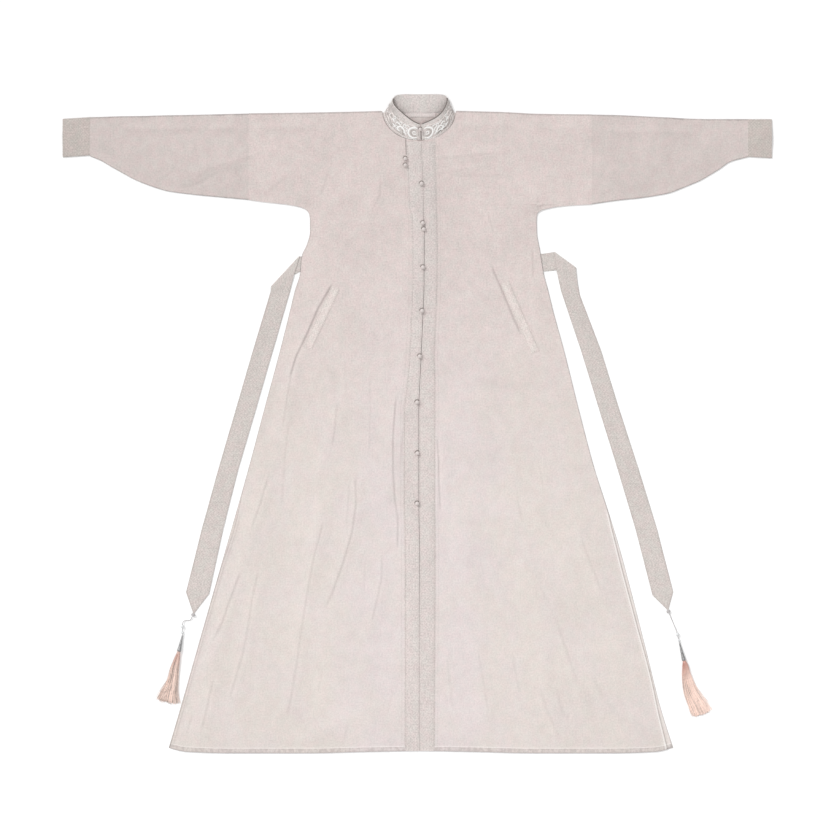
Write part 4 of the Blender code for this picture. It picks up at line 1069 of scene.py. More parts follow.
@dataclass(frozen=True)
class Pearl(Finish):
    """A pearly knob: clear coat over a softly clouded white."""

    def paint(self, shade: Shade) -> None:
        """Clouded tone under a coat."""
        x, y = shade.cloth()
        cloud = shade.grain(x * 0.35, y * 0.35, 3.0)
        colour = shade.blend(cloud.eased(0.3, 0.7), linear(self.colour, 0.86), linear(self.colour, 1.08))
        shade.set(Base_Color=colour, Roughness=self.roughness, Coat_Weight=0.12, Coat_Roughness=0.12,
                  Normal=shade.bump(cloud, 0.05, 0.4))


@dataclass(frozen=True)
class Crystal(Finish):
    """Milky faceted glass with faint clouds in it."""

    def paint(self, shade: Shade) -> None:
        """Uneven tone and roughness, and a little light that passes through."""
        x, y = shade.cloth()
        cloud = shade.grain(x * 0.5, y * 0.5, 3.0)
        colour = shade.blend(cloud, linear(self.colour, 0.92), linear(self.colour, 1.05))
        shade.set(Base_Color=colour, Roughness=cloud * 0.08 + self.roughness,
                  Transmission_Weight=0.15, IOR=1.45)


class Stuff(Enum):
    """Everything that the robe is made of."""

    BODY = Cloth("robe_linen", "body_cloth", (212, 200, 197), 0.86, mottle=0.25, fade=0.22,
                 edge_shade=0.55)
    # The body's linen a little darker: painted shade on the sleeves.
    SLEEVE = Cloth("sleeve_linen", "sleeve_cloth", (206, 195, 192), 0.86,
                   edge_shade=0.7)
    TRIM = Cloth("cuff_trim", "trim_cloth", (193, 184, 179), 0.8, pitch=0.55, slub=0.14,
                 mottle=0.3, figure=0.35, sheen=0.2)
    RIBBON = Cloth("tie_ribbon", "trim_cloth", (201, 193, 189), 0.8, pitch=0.55, slub=0.14,
                   mottle=0.34, figure=0.4, sheen=0.2)
    WELT = Cloth("welt_trim", "trim_cloth", (217, 207, 203), 0.82, pitch=0.6, slub=0.10,
                 mottle=0.3, figure=0.25, edge_shade=0.03)
    BAND = Cloth("front_band_trim", "trim_cloth", (207, 198, 195), 0.8, pitch=0.55, slub=0.12,
                 mottle=0.36, figure=0.25, sheen=0.2, edge_shade=0.04)
    TAPE = Cloth("neck_tape_trim", "trim_cloth", (224, 214, 212), 0.8, pitch=0.55, mottle=0.2,
                 edge_shade=0.1)
    COLLAR = Cloth("collar_satin", "collar_cloth", (212, 204, 201), 0.6, pitch=0.4, slub=0.16, mottle=0.42,
                   figure=0.2, figure_size=4.0, sheen=0.25, edge_width=1.6, edge_shade=0.1)
    STITCH = Thread("sewing_thread", "body_cloth", (198, 188, 184), 0.6, spread=0.12)
    # A dark thread laid beside the band at the neck: a painted shadow in the slit there.
    LIP = Thread("pressed_lip", "trim_cloth", (150, 141, 137), 0.8, spread=0.2, strand=1.1)
    # A dark cord just inside the collar's rim at the front: a painted shadow under the rim.
    LINING = Thread("collar_lining", "collar_cloth", (124, 115, 111), 0.7, spread=0.2, strand=1.1)
    WHITE_SILK = Thread("white_embroidery", "collar_cloth", (250, 249, 247), 0.42, spread=0.14,
                        strand=0.42, gloss=0.6)
    SOFT_SILK = Thread("pale_embroidery", "collar_cloth", (232, 223, 219), 0.42, spread=0.16,
                       strand=0.42, gloss=0.6)
    GREY_SILK = Thread("grey_embroidery", "collar_cloth", (184, 177, 172), 0.4, spread=0.25,
                       strand=0.42, gloss=0.6)
    DARK_SILK = Thread("dark_embroidery", "collar_cloth", (110, 104, 100), 0.4, spread=0.25,
                       strand=0.42, gloss=0.6)
    PIPING = Thread("collar_piping", "collar_cloth", (226, 221, 218), 0.5, spread=0.12, strand=0.9)
    LOOP = Thread("loop_cord", "loop_thread", (142, 133, 129), 0.6, spread=0.2, strand=0.9)
    CORD = Thread("tassel_cord", "silver_thread", (194, 190, 190), 0.45, spread=0.35, strand=0.9, gloss=0.6)
    SILK = Thread("tassel_silk", "peach_silk", (243, 221, 210), 0.42, spread=0.6,
                  root=(206, 158, 145), strand=1.6, gloss=0.6)
    KNOB = Pearl("button_knob", "button_pearl", (212, 203, 200), 0.6)
    SILVER = Metal("cap_silver", "silver", (168, 167, 168), 0.46)
    CRYSTAL = Crystal("clear_bead", "crystal", (230, 231, 232), 0.2)
    FLOOR = Finish("pale_floor", "body_cloth", (255, 255, 255), 0.95)


# --- sewing
@dataclass(frozen=True)
class Stitcher:
    """Running stitches: short flattened rods that dip into the cloth at both ends."""

    length: float = 3.0
    space: float = 1.2
    width: float = 0.62
    height: float = 0.42
    sides: int = 4

    def sew(self, form: Form, path: Array) -> None:
        """Add a row of stitches along a path that lies on the cloth.

        Args:
            form: what the stitches are joined to.
            path: points of the row, in order.
        """
        whole = lengths_along(path)[-1]
        starts = np.arange(self.space, whole - self.length, self.length + self.space)
        if not len(starts):
            return
        shares = np.array((0.0, 0.22, 0.78, 1.0))
        at = starts[:, None] + self.length * shares
        rods = spaced(path, at.ravel()).reshape(len(starts), len(shares), 3)
        rods = lifted(rods, np.array((-0.16, 0.14, 0.14, -0.16)))
        taper = np.array((0.6, 1.0, 1.0, 0.6))
        rings = swept(rods, self.width * taper, self.height * taper, self.sides)
        tone = np.random.default_rng(SEED).uniform(0.2, 0.8, len(starts))
        tone = np.broadcast_to(tone[:, None, None], rings.shape[:3])
        weave = joined(at[:, :, None], np.zeros(self.sides))
        form.rods(rings, weave, tone=tone.ravel())


# --- the body
@dataclass
class Body:
    """The back and the two fronts, each cut in one with the upper part of its sleeves."""

    cut: Cut
    lie: Lie
    front_columns: int = 174
    band_columns: int = 7
    back_columns: int = 60
    row_step: float = 8.4  # between rows down the skirt
    hem_rise: float = 0.45  # how much thicker the turned hem is
    back_neck_drop: float = 1.5
    join_far: float = 3.2  # by which the seam with a sleeve counts as farther off

    def drops(self) -> Array:
        """Nominal drops of a panel's rows, closest round the neck and under the arm."""
        hem = self.cut.hem_drop
        parts = (np.arange(0, 40, 4), np.arange(40, 64, 1.5), (64, 66, 70),
                 np.arange(74, 184, 3.2), np.arange(187.5, 236, 2.4), np.arange(239, 560, 5.2),
                 np.arange(562, hem - 14, self.row_step), hem - np.array((10.0, 9.0, 4.5, 0)))
        return np.unique(np.concatenate([np.asarray(p, float) for p in parts]))

    def under(self, side: Side, reach: Array, nominal: Array) -> Array:
        """Points of a front's under face at any reach and nominal drop."""
        cut = self.cut
        reach, nominal = np.broadcast_arrays(reach, nominal)
        across = reach * side.value
        drop = cut.bend(side, across, nominal, cut.edge(side, nominal))
        up = cut.wall + cut.gap + self.lie.height(across, drop, self.margin(side, reach, nominal, drop))
        return joined(across, drop, up)

    def margin(self, side: Side, reach: Array, nominal: Array, drop: Array) -> Array:
        """Distance from the nearest sewn or free edge of the upper layer: to the shoulder, to
        the corner of the underarm seam and side, and to the hem, which lies loosely."""
        cut = self.cut
        shoulder = drop - cut.per_side(SHOULDER, side, reach)
        inset = cut.per_side(SLIT_INSET, side, nominal)
        side_edge = cut.outer(side, np.maximum(nominal, 231.0)) - inset
        seam = self.underarm(side, reach)
        corner = np.hypot(np.maximum(side_edge - reach, 0), np.maximum(seam - drop, 0))
        hem = cut.hem_lift + cut.hem_drop - nominal
        return np.minimum(np.minimum(shoulder, corner), hem)

    def underarm(self, side: Side, reach: Array) -> Array:
        """Drop of the underarm seam at a reach beyond the body's side."""
        drops, reaches = zip(*(row for row in SIDE_EDGE[side][::-1] if row.drop < 232))
        return np.interp(reach, reaches, drops)

    def reaches(self, side: Side, nominal: Array) -> Array:
        """Reaches of a front's columns in each row: under the band, then to the outer edge,
        with two close columns where a turned hem ends."""
        cut = self.cut
        inner = cut.neck(side, nominal) * side.value
        width = cut.band(side, nominal)
        outer = cut.free_edge(side, nominal)
        under = inner[:, None] + width[:, None] * np.linspace(0, 1, self.band_columns)[:-1]
        start, stop = inner + width, outer - cut.slit_turn - 0.5
        free = start[:, None] + (stop - start)[:, None] * np.linspace(0, 1, self.front_columns)
        last = outer[:, None] - np.array((cut.slit_turn - 0.5, 3.0, 0.0))
        return np.concatenate((under, free, last), axis=1)

    def hems(self, reach: Array, nominal: Array, outer: Array) -> tuple:
        """Distance from the foot over the hem's width, the same for the slit, and how far a
        place is in the slit's range."""
        cut = self.cut
        return ((cut.hem_drop - nominal) / cut.hem_turn, (outer - reach) / cut.slit_turn,
                eased(cut.slit_top, cut.slit_top + 12, nominal))

    def edges(self, side: Side, reach: Array, nominal: Array, drop: Array, outer: Array) -> Array:
        """Distance from a panel's free edges; its seam with the sleeve counts as farther."""
        beside = 1.6 * (outer - reach) + self.join_far * (nominal < self.cut.underarm_drop)
        shoulder = drop - self.cut.per_side(SHOULDER, side, reach)
        near = np.minimum(np.minimum(beside, 0.5 * shoulder), self.cut.hem_drop - nominal)
        return np.maximum(near, 0)

    def build_front(self, side: Side) -> None:
        """One front: creased, with a turned hem that is a little thicker than the cloth."""
        cut, drops = self.cut, self.drops()
        reach = self.reaches(side, drops)
        nominal = np.broadcast_to(drops[:, None], reach.shape)
        lining = self.under(side, reach, nominal)
        outer = reach[:, -1:]
        foot, slit, slitted = self.hems(reach, nominal, outer)
        turned = np.maximum(1 - eased(0.92, 1.06, foot), (1 - eased(0.92, 1.06, slit)) * slitted)
        face = lifted(lining, cut.wall + self.hem_rise * turned)
        # The mark pale: a painted highlight along the slit edge on the wearer's left.
        pale = 0.6 * np.exp(-((slit - 0.45) / 0.35)**2) * slitted * (side is Side.LEFT)
        across, drop = lining[..., 0], lining[..., 1]
        name = f"front_{side.word}"
        # The mark crease is painted shade in the creases.
        lay(f"{name}_cloth", Stuff.BODY, name, (face, lining), (0.40, 1.39), sheet_area(face),
            ["back_cloth"], hem=np.minimum(foot, 9), pale=pale,
            crease=self.lie.folds(across, drop, dark=True),
            edge=self.edges(side, reach, nominal, drop, outer))

    def build_back(self) -> None:
        """The back, flat on the surface, with both upper sleeves."""
        cut, drops = self.cut, self.drops()
        share = np.linspace(-1, 1, self.back_columns)
        halves, outers = [], []
        for side in Side:
            outer = cut.outer(side, drops)[:, None]
            across = share * outer
            drop = cut.bend(side, across, drops[:, None], cut.edge(side, drops)[:, None])
            halves.append(joined(across, drop))
            outers.append(np.broadcast_to(outer, across.shape))
        across, drop = np.moveaxis(np.where(share[:, None] < 0, *halves), -1, 0)
        outer = np.where(share < 0, *outers)
        at_neck = (drops[:, None] == 0) & (np.abs(across) < 1.3 * cut.neck_half)
        drop = np.where(at_neck, self.back_neck_drop, drop)
        lining = joined(across, drop, np.zeros_like(across))
        nominal = np.broadcast_to(drops[:, None], across.shape)
        foot, slit, slitted = self.hems(np.abs(across), nominal, outer)
        # The mark pale: a painted highlight on the back beside the slit on the wearer's left.
        lay("back_cloth", Stuff.BODY, "back", (lifted(lining, cut.wall), lining), (1.08, 1.38),
            sheet_area(lining), hem=np.minimum(foot, 9),
            pale=0.3 * slitted * (share > 0) * (1 - eased(0.6, 1.3, slit)),
            edge=self.edges(Side.RIGHT, np.abs(across), nominal, drop, outer))

    def build_band(self, side: Side) -> None:
        """Centre front band, a strip of trim that follows the front."""
        cut = self.cut
        drops = np.concatenate(((64.0,), np.arange(68, cut.hem_drop - 3, 5.2), (cut.hem_drop,)))
        inner = cut.neck(side, drops) * side.value
        width = cut.band(side, drops)
        share = np.array((0, 0.05, 0.2, 0.36, 0.5, 0.64, 0.76, 0.84, 0.92, 1.0))
        thin = eased(0.66, 1.0, share)
        reach = inner[:, None] + width[:, None] * share
        under = lifted(self.under(side, reach, drops[:, None]), (cut.wall + cut.gap - 0.22 * thin)[None])
        crown = cut.trim - 0.25 * (share < 0.01) - (cut.trim - 0.14) * thin
        face = lifted(under, crown[None, :] * np.ones_like(reach))
        edge = np.minimum(reach - inner[:, None], inner[:, None] + width[:, None] - reach)
        name = f"band_{side.word}"
        lay(f"{name}_trim", Stuff.BAND, name, (face, under), (0.034, 1.32), sheet_area(face),
            [f"front_{side.word}_cloth"], edge=edge, hem=3.0)

    def sew(self, stitcher: Stitcher) -> None:
        """Rows of stitches along hems, slits and bands."""
        cut, form = self.cut, Form()
        for side in Side:
            drops = np.arange(70, cut.hem_drop - 2, 4.0)
            inner = cut.neck(side, drops) * side.value
            width = cut.band(side, drops)
            on_band = cut.wall + cut.gap + cut.trim
            for reach, up in ((inner + 2.6, on_band), (inner + width - 2.6, on_band),
                              (inner + width + 5.5, cut.wall)):
                stitcher.sew(form, lifted(self.under(side, reach, drops), up))
            top = cut.hem_drop - cut.hem_turn + 1.4
            outer = cut.free_edge(side, np.array(top))
            reach = np.arange(36, outer - 6, 4.0)
            row = self.under(side, reach, np.full(reach.shape, top))
            stitcher.sew(form, lifted(row, cut.wall + self.hem_rise))
            drops = np.arange(cut.slit_top + 14, top - 4, 4.0)
            outer = cut.free_edge(side, drops)
            row = self.under(side, outer - cut.slit_turn + 1.4, drops)
            stitcher.sew(form, lifted(row, cut.wall + self.hem_rise))
        form.build("body_stitches", Stuff.STITCH)


def sheet_area(points: Array) -> float:
    """Area of a grid of points in square metres: half the cross product of each quad's
    diagonals, summed."""
    first = points[1:, 1:] - points[:-1, :-1]
    second = points[1:, :-1] - points[:-1, 1:]
    return float(np.linalg.norm(np.cross(first, second), axis=-1).sum() / 2 * MM * MM)


# --- sleeves and cuffs
@dataclass
class Tube:
    """A flattened tube of cloth: flat below, creased above, folded at its top edge."""

    name: str
    side: Side
    rows: tuple
    height: float
    wall: float
    stuff: Stuff
    lie: Lie
    step: float = 3.4
    columns: int = 58
    end_gap: float = 0.02  # taken off both ends, or off the first alone
    open_end: bool = False

    def sections(self) -> tuple:
        """Reach, top and bottom of each ring."""
        first, last = self.rows[0].reach + self.end_gap, self.rows[-1].reach
        last -= 0.0 if self.open_end else self.end_gap
        reach = np.linspace(first, last, int((last - first) / self.step) + 1)
        knots, top, bottom = zip(*self.rows)
        return reach, steady(knots, top, reach), steady(knots, bottom, reach)

    def over(self, reach: Array, share: Array, top: Array, bottom: Array) -> Array:
        """Points of the upper face at any share of the way from top to bottom."""
        reach, share, top, bottom = np.broadcast_arrays(reach, share, top, bottom)
        depth = bottom - top
        drop = top + depth * share
        across = self.side.value * reach
        margin = np.minimum(share, 1 - share) * depth - self.height
        up = self.height + self.lie.height(across, drop, margin)
        return joined(across, drop, up)

    def build(self) -> None:
        """The tube's closed wall, with round edges."""
        reach, top, bottom = (row[:, None] for row in self.sections())
        share = np.linspace(0, 1, self.columns)[None, :]
        round_in = self.height / (bottom - top)
        over = self.over(reach, round_in + (1 - 2 * round_in) * share, top, bottom)
        under = over * (1, 1, 0)
        arc = np.radians((60, 25, -25, -60))
        rings = []
        for inset in (0.0, self.wall):
            wide, tall = self.height - inset, self.height / 2 - inset
            ends = []
            for edge, way in ((bottom, 1), (top, -1)):
                turn = arc * way
                drop = edge - way * self.height + way * wide * np.cos(turn)
                up = self.height / 2 + tall * np.sin(turn) + 0 * edge
                ends.append(joined(self.side.value * reach, drop, up))
            rings.append(np.concatenate((lifted(over, -inset), ends[0],
                                         lifted(under, inset)[:, ::-1], ends[1]), axis=1))
        outer, inner = rings
        near = np.minimum(0.5 * (outer[..., 1] - top), bottom - outer[..., 1])
        seam = np.minimum(reach - reach[0], reach[-1] - reach) + 3.2 + 0 * near
        form = Form()
        # Painted shade in the creases of the upper face.
        crease = self.lie.folds(outer[..., 0], outer[..., 1], dark=True) * (outer[..., 2] > 3)
        form.hose(outer, inner, crease=crease, edge=np.maximum(np.minimum(near, seam), 0), hem=3.0)
        item = form.build(f"{self.name}_cloth", self.stuff, self.name)
        rings = np.concatenate((outer, outer[:, :1]), axis=1)

    def across_row(self, at: float) -> Array:
        """Points across the upper face at one reach, for a row of stitches."""
        knots, top, bottom = zip(*self.rows)
        return self.over(np.array(at), np.linspace(0.03, 0.97, 40), np.interp(at, knots, top),
                         np.interp(at, knots, bottom))


# --- collar
@dataclass
class Collar:
    """Standing collar, open at the centre front, with piping and embroidery."""

    cut: Cut
    wall: float = 1.5
    bulge: float = 1.2
    steps: int = 12  # sections between two rows of its table
    lines: int = 15
    rim_shadow_size: float = 3.0  # of the dark cord that paints the shadow inside the rim
    rim_shadow_right: int = 66  # where it ends on the wearer's right, and starts on the left
    rim_shadow_left: int = 130
    sheet: Array = field(init=False)
    normal: Array = field(init=False)

    def __post_init__(self) -> None:
        """Work out the middle surface: straight lines from the seam's curve to the rim's, with
        a sine-shaped bulge, and its normals, which point out of the ring."""
        at = np.linspace(0, len(COLLAR) - 1, (len(COLLAR) - 1) * self.steps + 1)
        rows = smooth_rows(np.array(COLLAR), at)
        seam, rim = rows[:, (0, 1, 4)], rows[:, (2, 3, 5)]
        share = np.linspace(0, 1, self.lines)[None, :, None]
        sheet = seam[:, None] * (1 - share) + rim[:, None] * share
        self.sheet = sheet + np.sin(share * math.pi) * self.bulge * UP
        along, up = np.gradient(self.sheet, axis=0), np.gradient(self.sheet, axis=1)
        self.normal = unit(np.cross(along, up))

    def spots(self, side: Side, along: Array, up: Array, proud: Any = 0.0) -> tuple:
        """Points on the outside of the collar, and its normals there.

        Args:
            side: which half.
            along: distance from the centre front round the collar's middle line.
            up: distance from the seam towards the rim.
            proud: how far the points stand off the cloth.

        Returns:
            The points and the normals.
        """
        rows = self.sheet if side is Side.RIGHT else self.sheet[::-1]
        normals = self.normal if side is Side.RIGHT else self.normal[::-1]
        i = np.interp(along, lengths_along(rows[:, self.lines // 2]), np.arange(len(rows)))
        tall = np.linalg.norm(rows[:, -1] - rows[:, 0], axis=-1)
        j = np.clip(up / np.interp(i, np.arange(len(rows)), tall), 0, 1) * (self.lines - 1)
        point, normal = patch(rows, i, j), unit(patch(normals, i, j))
        return point + normal * (self.wall / 2 + np.asarray(proud))[..., None], normal

    def turned(self, along: Array) -> Array:
        """Painted shade where the collar turns to the back: most at its two sides."""
        middle = self.sheet[:, self.lines // 2, 0]
        sides = [along[pick(middle), 0] for pick in (np.argmin, np.argmax)]
        return 1.6 * sum(np.exp(-((along - side) / 30.0)**2) for side in sides)

    def build(self) -> None:
        """The collar's wall; its back lies flat above the shoulders."""
        offset = self.normal * self.wall / 2
        lower, upper = self.sheet - offset, self.sheet + offset
        lift = np.maximum(-np.minimum(lower[..., 2], upper[..., 2]), 0)
        along = lengths_along(self.sheet[:, self.lines // 2])[:, None]
        tall = np.linalg.norm(self.sheet[:, -1] - self.sheet[:, 0], axis=-1)[:, None]
        up = tall * np.linspace(0, 1, self.lines)
        edge = np.minimum(np.minimum(up, tall - up), np.minimum(along, along[-1] - along) * 2)
        # The mark crease carries the painted shade where the collar turns.
        lay("collar_cloth", Stuff.COLLAR, "collar", (lifted(upper, lift), lifted(lower, lift)),
            (0.045, 0.46), sheet_area(self.sheet), ["front_left_cloth"], "gathered",
            joined(along, up), edge=edge, hem=3.0, crease=self.turned(along))

    def pipe(self) -> None:
        """A thin cord along the rim, one over the seam, and a dark roll just inside the rim at the
        front, which paints the shadow under the rim."""
        # The second form holds the dark roll of painted shadow.
        form, lining = Form(), Form()
        rim, over = self.sheet[:, -1], self.normal[:, -1]
        seam = self.sheet[4:-4, 0] + self.normal[4:-4, 0] * (self.wall / 2 + 0.1)
        inward = unit(self.sheet[:, -1] - self.sheet[:, -2])
        roll = rim + inward * 0.75 - over * 0.5
        fronts = (slice(1, self.rim_shadow_right), slice(self.rim_shadow_left, -1))
        rows = [(form, rim + over * 0.2 - inward * 0.4, 1.5), (form, seam, 1.0)]
        rows += [(lining, roll[part], self.rim_shadow_size) for part in fronts]
        for target, path, size in rows:
            path = path + UP * np.maximum(size * 0.75 - path[:, 2:], 0)
            target.cord(path, size, size, 8, 0.4, 0.5, 0.9, 0.08)
        form.build("collar_piping", Stuff.PIPING)
        lining.build("collar_lining", Stuff.LINING)


def patch(grid: Array, i: Array, j: Array) -> Array:
    """Read a grid of points between its rows and columns, in straight runs both ways."""
    rows, columns = grid.shape[:2]
    a, b = np.clip(i.astype(int), 0, rows - 2), np.clip(j.astype(int), 0, columns - 2)
    u, v = (i - a)[..., None], (j - b)[..., None]
    return ((grid[a, b] * (1 - u) + grid[a + 1, b] * u) * (1 - v)
            + (grid[a, b + 1] * (1 - u) + grid[a + 1, b + 1] * u) * v)


# --- pieces on the fronts
@dataclass
class Pocket:
    """A slanted welt on a front."""

    side: Side
    body: Body
    width: float = 19.5
    rows: int = 56
    columns: int = 12
    thick: float = 1.0
    inset: float = 1.8  # of the stitches from the welt's edges
    near: float = 4.0  # the welt bridges hollows in the front that are narrower
    over: float = 0.08

    def place(self, along: Array, aside: Array) -> Array:
        """Points just over the front at shares along the welt and distances aside, which are
        above zero towards the side seam."""
        welt = WELT[self.side]
        top, low = np.array(welt[:2]), np.array(welt[2:])
        run = low - top
        square = unit(np.array((run[1], -run[0])))
        along, aside = np.broadcast_arrays(along, aside)
        spot = top + along[..., None] * run + aside[..., None] * square
        highest = np.full(along.shape, -np.inf)
        for step in np.linspace(-self.near, self.near, 5):
            beside = spot + step * square
            highest = np.maximum(highest, self.body.under(self.side, *np.moveaxis(beside, -1, 0))[..., 2])
        point = self.body.under(self.side, spot[..., 0], spot[..., 1])
        point[..., 2] = highest + self.body.cut.wall + self.over
        return point

    def build(self) -> None:
        """The welt, a strip with soft edges."""
        along = np.linspace(0, 1, self.rows)[:, None]
        share = np.linspace(-1, 1, self.columns)[None, :]
        under = self.place(along, share * self.width / 2)
        length = float(np.linalg.norm(np.subtract(WELT[self.side][2:], WELT[self.side][:2])))
        sideways = (1 - abs(share)) * self.width / 2
        edge = np.minimum(sideways, np.minimum(along, 1 - along) * length)
        thick = self.thick * (0.3 + 0.7 * eased(0.0, 3.6, edge))
        name = f"pocket_{self.side.word}"
        lay(f"{name}_trim", Stuff.WELT, name, (lifted(under, thick), under),
            (self.width * MM, length * 1.01 * MM),
            min(sheet_area(under), self.width * length * 1.01 * MM * MM),
            [f"front_{self.side.word}_cloth"], edge=edge, hem=3.0,
            weave=joined(share * self.width / 2, along * length))

    def sew(self, stitcher: Stitcher, form: Form) -> None:
        """Stitches all round the welt."""
        reach = self.width / 2 - self.inset
        along = np.linspace(0.015, 0.985, 60)
        for aside in (-reach, reach):
            stitcher.sew(form, lifted(self.place(along, np.array(aside)), self.thick - 0.1))
        for end in (0.015, 0.985):
            row = self.place(np.array(end), np.linspace(-reach, reach, 9))
            stitcher.sew(form, lifted(row, self.thick - 0.1))


def shadow_strip(form: Form, path: Array, width: float, height: float) -> None:
    """Add a narrow rod along a path, tapered at both ends: a line of painted shadow."""
    along = lengths_along(path)
    taper = eased(0, 4, np.minimum(along, along[-1] - along)) * 0.8 + 0.2
    form.cord(path, width * taper, height * taper, 8, 0.3, 0.4)


@dataclass
class Tie:
    """A ribbon that leaves the side seam, is folded over slantwise and runs to a point."""

    side: Side
    half: float = 0.6  # half of its thickness
    gap: float = 0.3
    columns: int = 13
    step: float = 4.5
    ripple: float = 0.5
    inset: float = 2.0

    def edges(self) -> tuple:
        """Both edges and the normals of every section: out to the fold, an arc over it, and
        down the long run."""
        rows = np.array(TIE[self.side])
        near = joined(self.side.value * rows[:, 0], rows[:, 1])
        far = joined(self.side.value * rows[:, 2], rows[:, 3])
        turn = self.half + self.gap / 2
        share = np.linspace(0, 1, 9)[:-1, None]
        first = [edge[0] + (edge[1] - edge[0]) * share for edge in (near, far)]
        tilt = unit(far[1] - near[1])
        away = np.array((tilt[1], -tilt[0])) * self.side.value
        angle = np.linspace(-math.pi / 2, math.pi / 2, 13)[:, None]
        arc = [edge[1] + away * np.cos(angle) * turn for edge in (near, far)]
        down_rows = np.concatenate((near, far), axis=1)[2:]
        knots = lengths_along((near + far)[2:] / 2)
        at = np.union1d(np.linspace(0, knots[-1], int(knots[-1] / self.step)), knots)
        down = np.stack([np.interp(at, knots, column) for column in down_rows.T], axis=-1)
        bridge = 1 - eased(-knots[1], knots[1], at)
        ups = np.concatenate((np.full(len(share), self.half),
                              self.half + turn + np.sin(angle[:, 0]) * turn,
                              self.half + 4 * turn * bridge))
        flat = np.concatenate((-away * np.cos(angle), -np.sin(angle)), axis=1)
        normals = np.concatenate((np.tile(UP, (len(share), 1)), flat,
                                  np.tile(-UP, (len(at), 1)))) * self.half
        sides = [np.concatenate((a, b, c)) for a, b, c in zip(first, arc, (down[:, :2], down[:, 2:]))]
        return (*(np.concatenate((s, ups[:, None]), axis=1) for s in sides), normals)

    def build(self) -> None:
        """The ribbon, a little wavy along its free run."""
        inner, outer, normals = self.edges()
        share = np.linspace(0, 1, self.columns)[None, :, None]
        sheet = inner[:, None] * (1 - share) + outer[:, None] * share
        along = lengths_along((inner + outer) / 2)[:, None]
        wide = np.linalg.norm(outer - inner, axis=1)[:, None]
        aside = wide * share[..., 0]
        free = eased(120, 200, along) * eased(0, 60, along[-1:] - along)
        sway = uneven(aside, along, 24, 46, 9 + self.side.value) * 0.5 + 0.5
        sheet = lifted(sheet, free * sway * self.ripple)
        edge = np.minimum(aside, wide - aside)
        thin = 1 - 0.35 * (1 - eased(0.0, 2.0, edge))
        offset = normals[:, None] * thin[..., None]
        lower, upper = sheet - offset, sheet + offset
        lift = np.maximum(-np.minimum(lower[..., 2], upper[..., 2]), 0)
        name = f"tie_{self.side.word}"
        lay(f"{name}_trim", Stuff.RIBBON, name, (lifted(upper, lift), lifted(lower, lift)),
            (0.052, float(along[-1, 0]) * MM * 1.02), sheet_area(sheet), edge=edge, hem=3.0,
            weave=joined(aside, along))

    def sew(self, stitcher: Stitcher, form: Form) -> None:
        """A row of stitches inside each long edge of the free run."""
        inner, outer, normals = self.edges()
        start = int(np.argmax(normals[:, 2] < -0.99 * self.half)) + 4
        wide = np.linalg.norm(outer - inner, axis=1)[:, None]
        keep = slice(start, int(np.argmax(wide[:, 0] < 3 * self.inset)) or None)
        towards = (outer - inner) / np.maximum(wide, 0.1)
        for edge, way in ((inner, 1), (outer, -1)):
            row = (edge + way * self.inset * towards)[keep]
            stitcher.sew(form, lifted(row, self.half + self.ripple * 0.5))


def build_tape(cut: Cut, stitcher: Stitcher, form: Form) -> None:
    """The tape that covers the inside of the back neck seam, with a row of stitches along
    each edge."""
    width = 10.1
    across = np.linspace(-36, 31, 40)
    share = np.linspace(0, 1, 6)
    sway = 0.3 * np.sin(across / 4.0) + 0.2 * np.sin(across / 2.3)
    drop = 0.7 + share * width + sway[:, None] * share
    sheet = joined(across[:, None], drop, cut.wall + cut.gap)
    edge = np.minimum(share, 1 - share) * width + 0 * drop
    for row in (1, 4):
        stitcher.sew(form, lifted(sheet[:, row], 0.4))
    lay("neck_tape", Stuff.TAPE, "", (lifted(sheet, 0.4), sheet), (width * MM, 0.069),
        min(sheet_area(sheet), width * MM * 0.069), ["back_cloth"], edge=edge, hem=3.0)


def sew_rest(body: Body, stitcher: Stitcher, pockets: Sequence[Pocket], ties: Sequence[Tie],
             tubes: Sequence[Tube]) -> None:
    """Stitches on the welts, ties, cuffs and neck tape, and a dark strip by the collar that paints
    the shadow in the slit beside the band.
    """
    form = Form()
    for piece in (*pockets, *ties):
        piece.sew(stitcher, form)
    for tube in tubes:
        if tube.open_end:
            stitcher.sew(form, tube.across_row(tube.rows[-1].reach - 2.6))
    build_tape(body.cut, stitcher, form)
    form.build("trim_stitches", Stuff.STITCH)
    # A dark strip along the band's outer edge below the collar: painted shadow in the slit.
    slit_shadow_form = Form()
    drops = np.arange(57.0, 94.0, 1.5)
    cut, side = body.cut, Side.RIGHT
    neck = cut.neck(side, np.maximum(drops, 66.0)) * side.value
    reach = neck + cut.band(side, drops) + 0.9
    shadow_strip(slit_shadow_form, lifted(body.under(side, reach, drops), cut.wall + 0.4), 1.3, 0.6)
    slit_shadow_form.build("pressed_lip", Stuff.LIP)


# --- embroidery
class Motif(NamedTuple):
    """One embroidered line on the collar; its points are (distance from the centre front,
    distance up from the seam), and it is widest at its middle."""

    silk: str
    width: float
    taper: float  # share of the width that its ends keep
    points: tuple


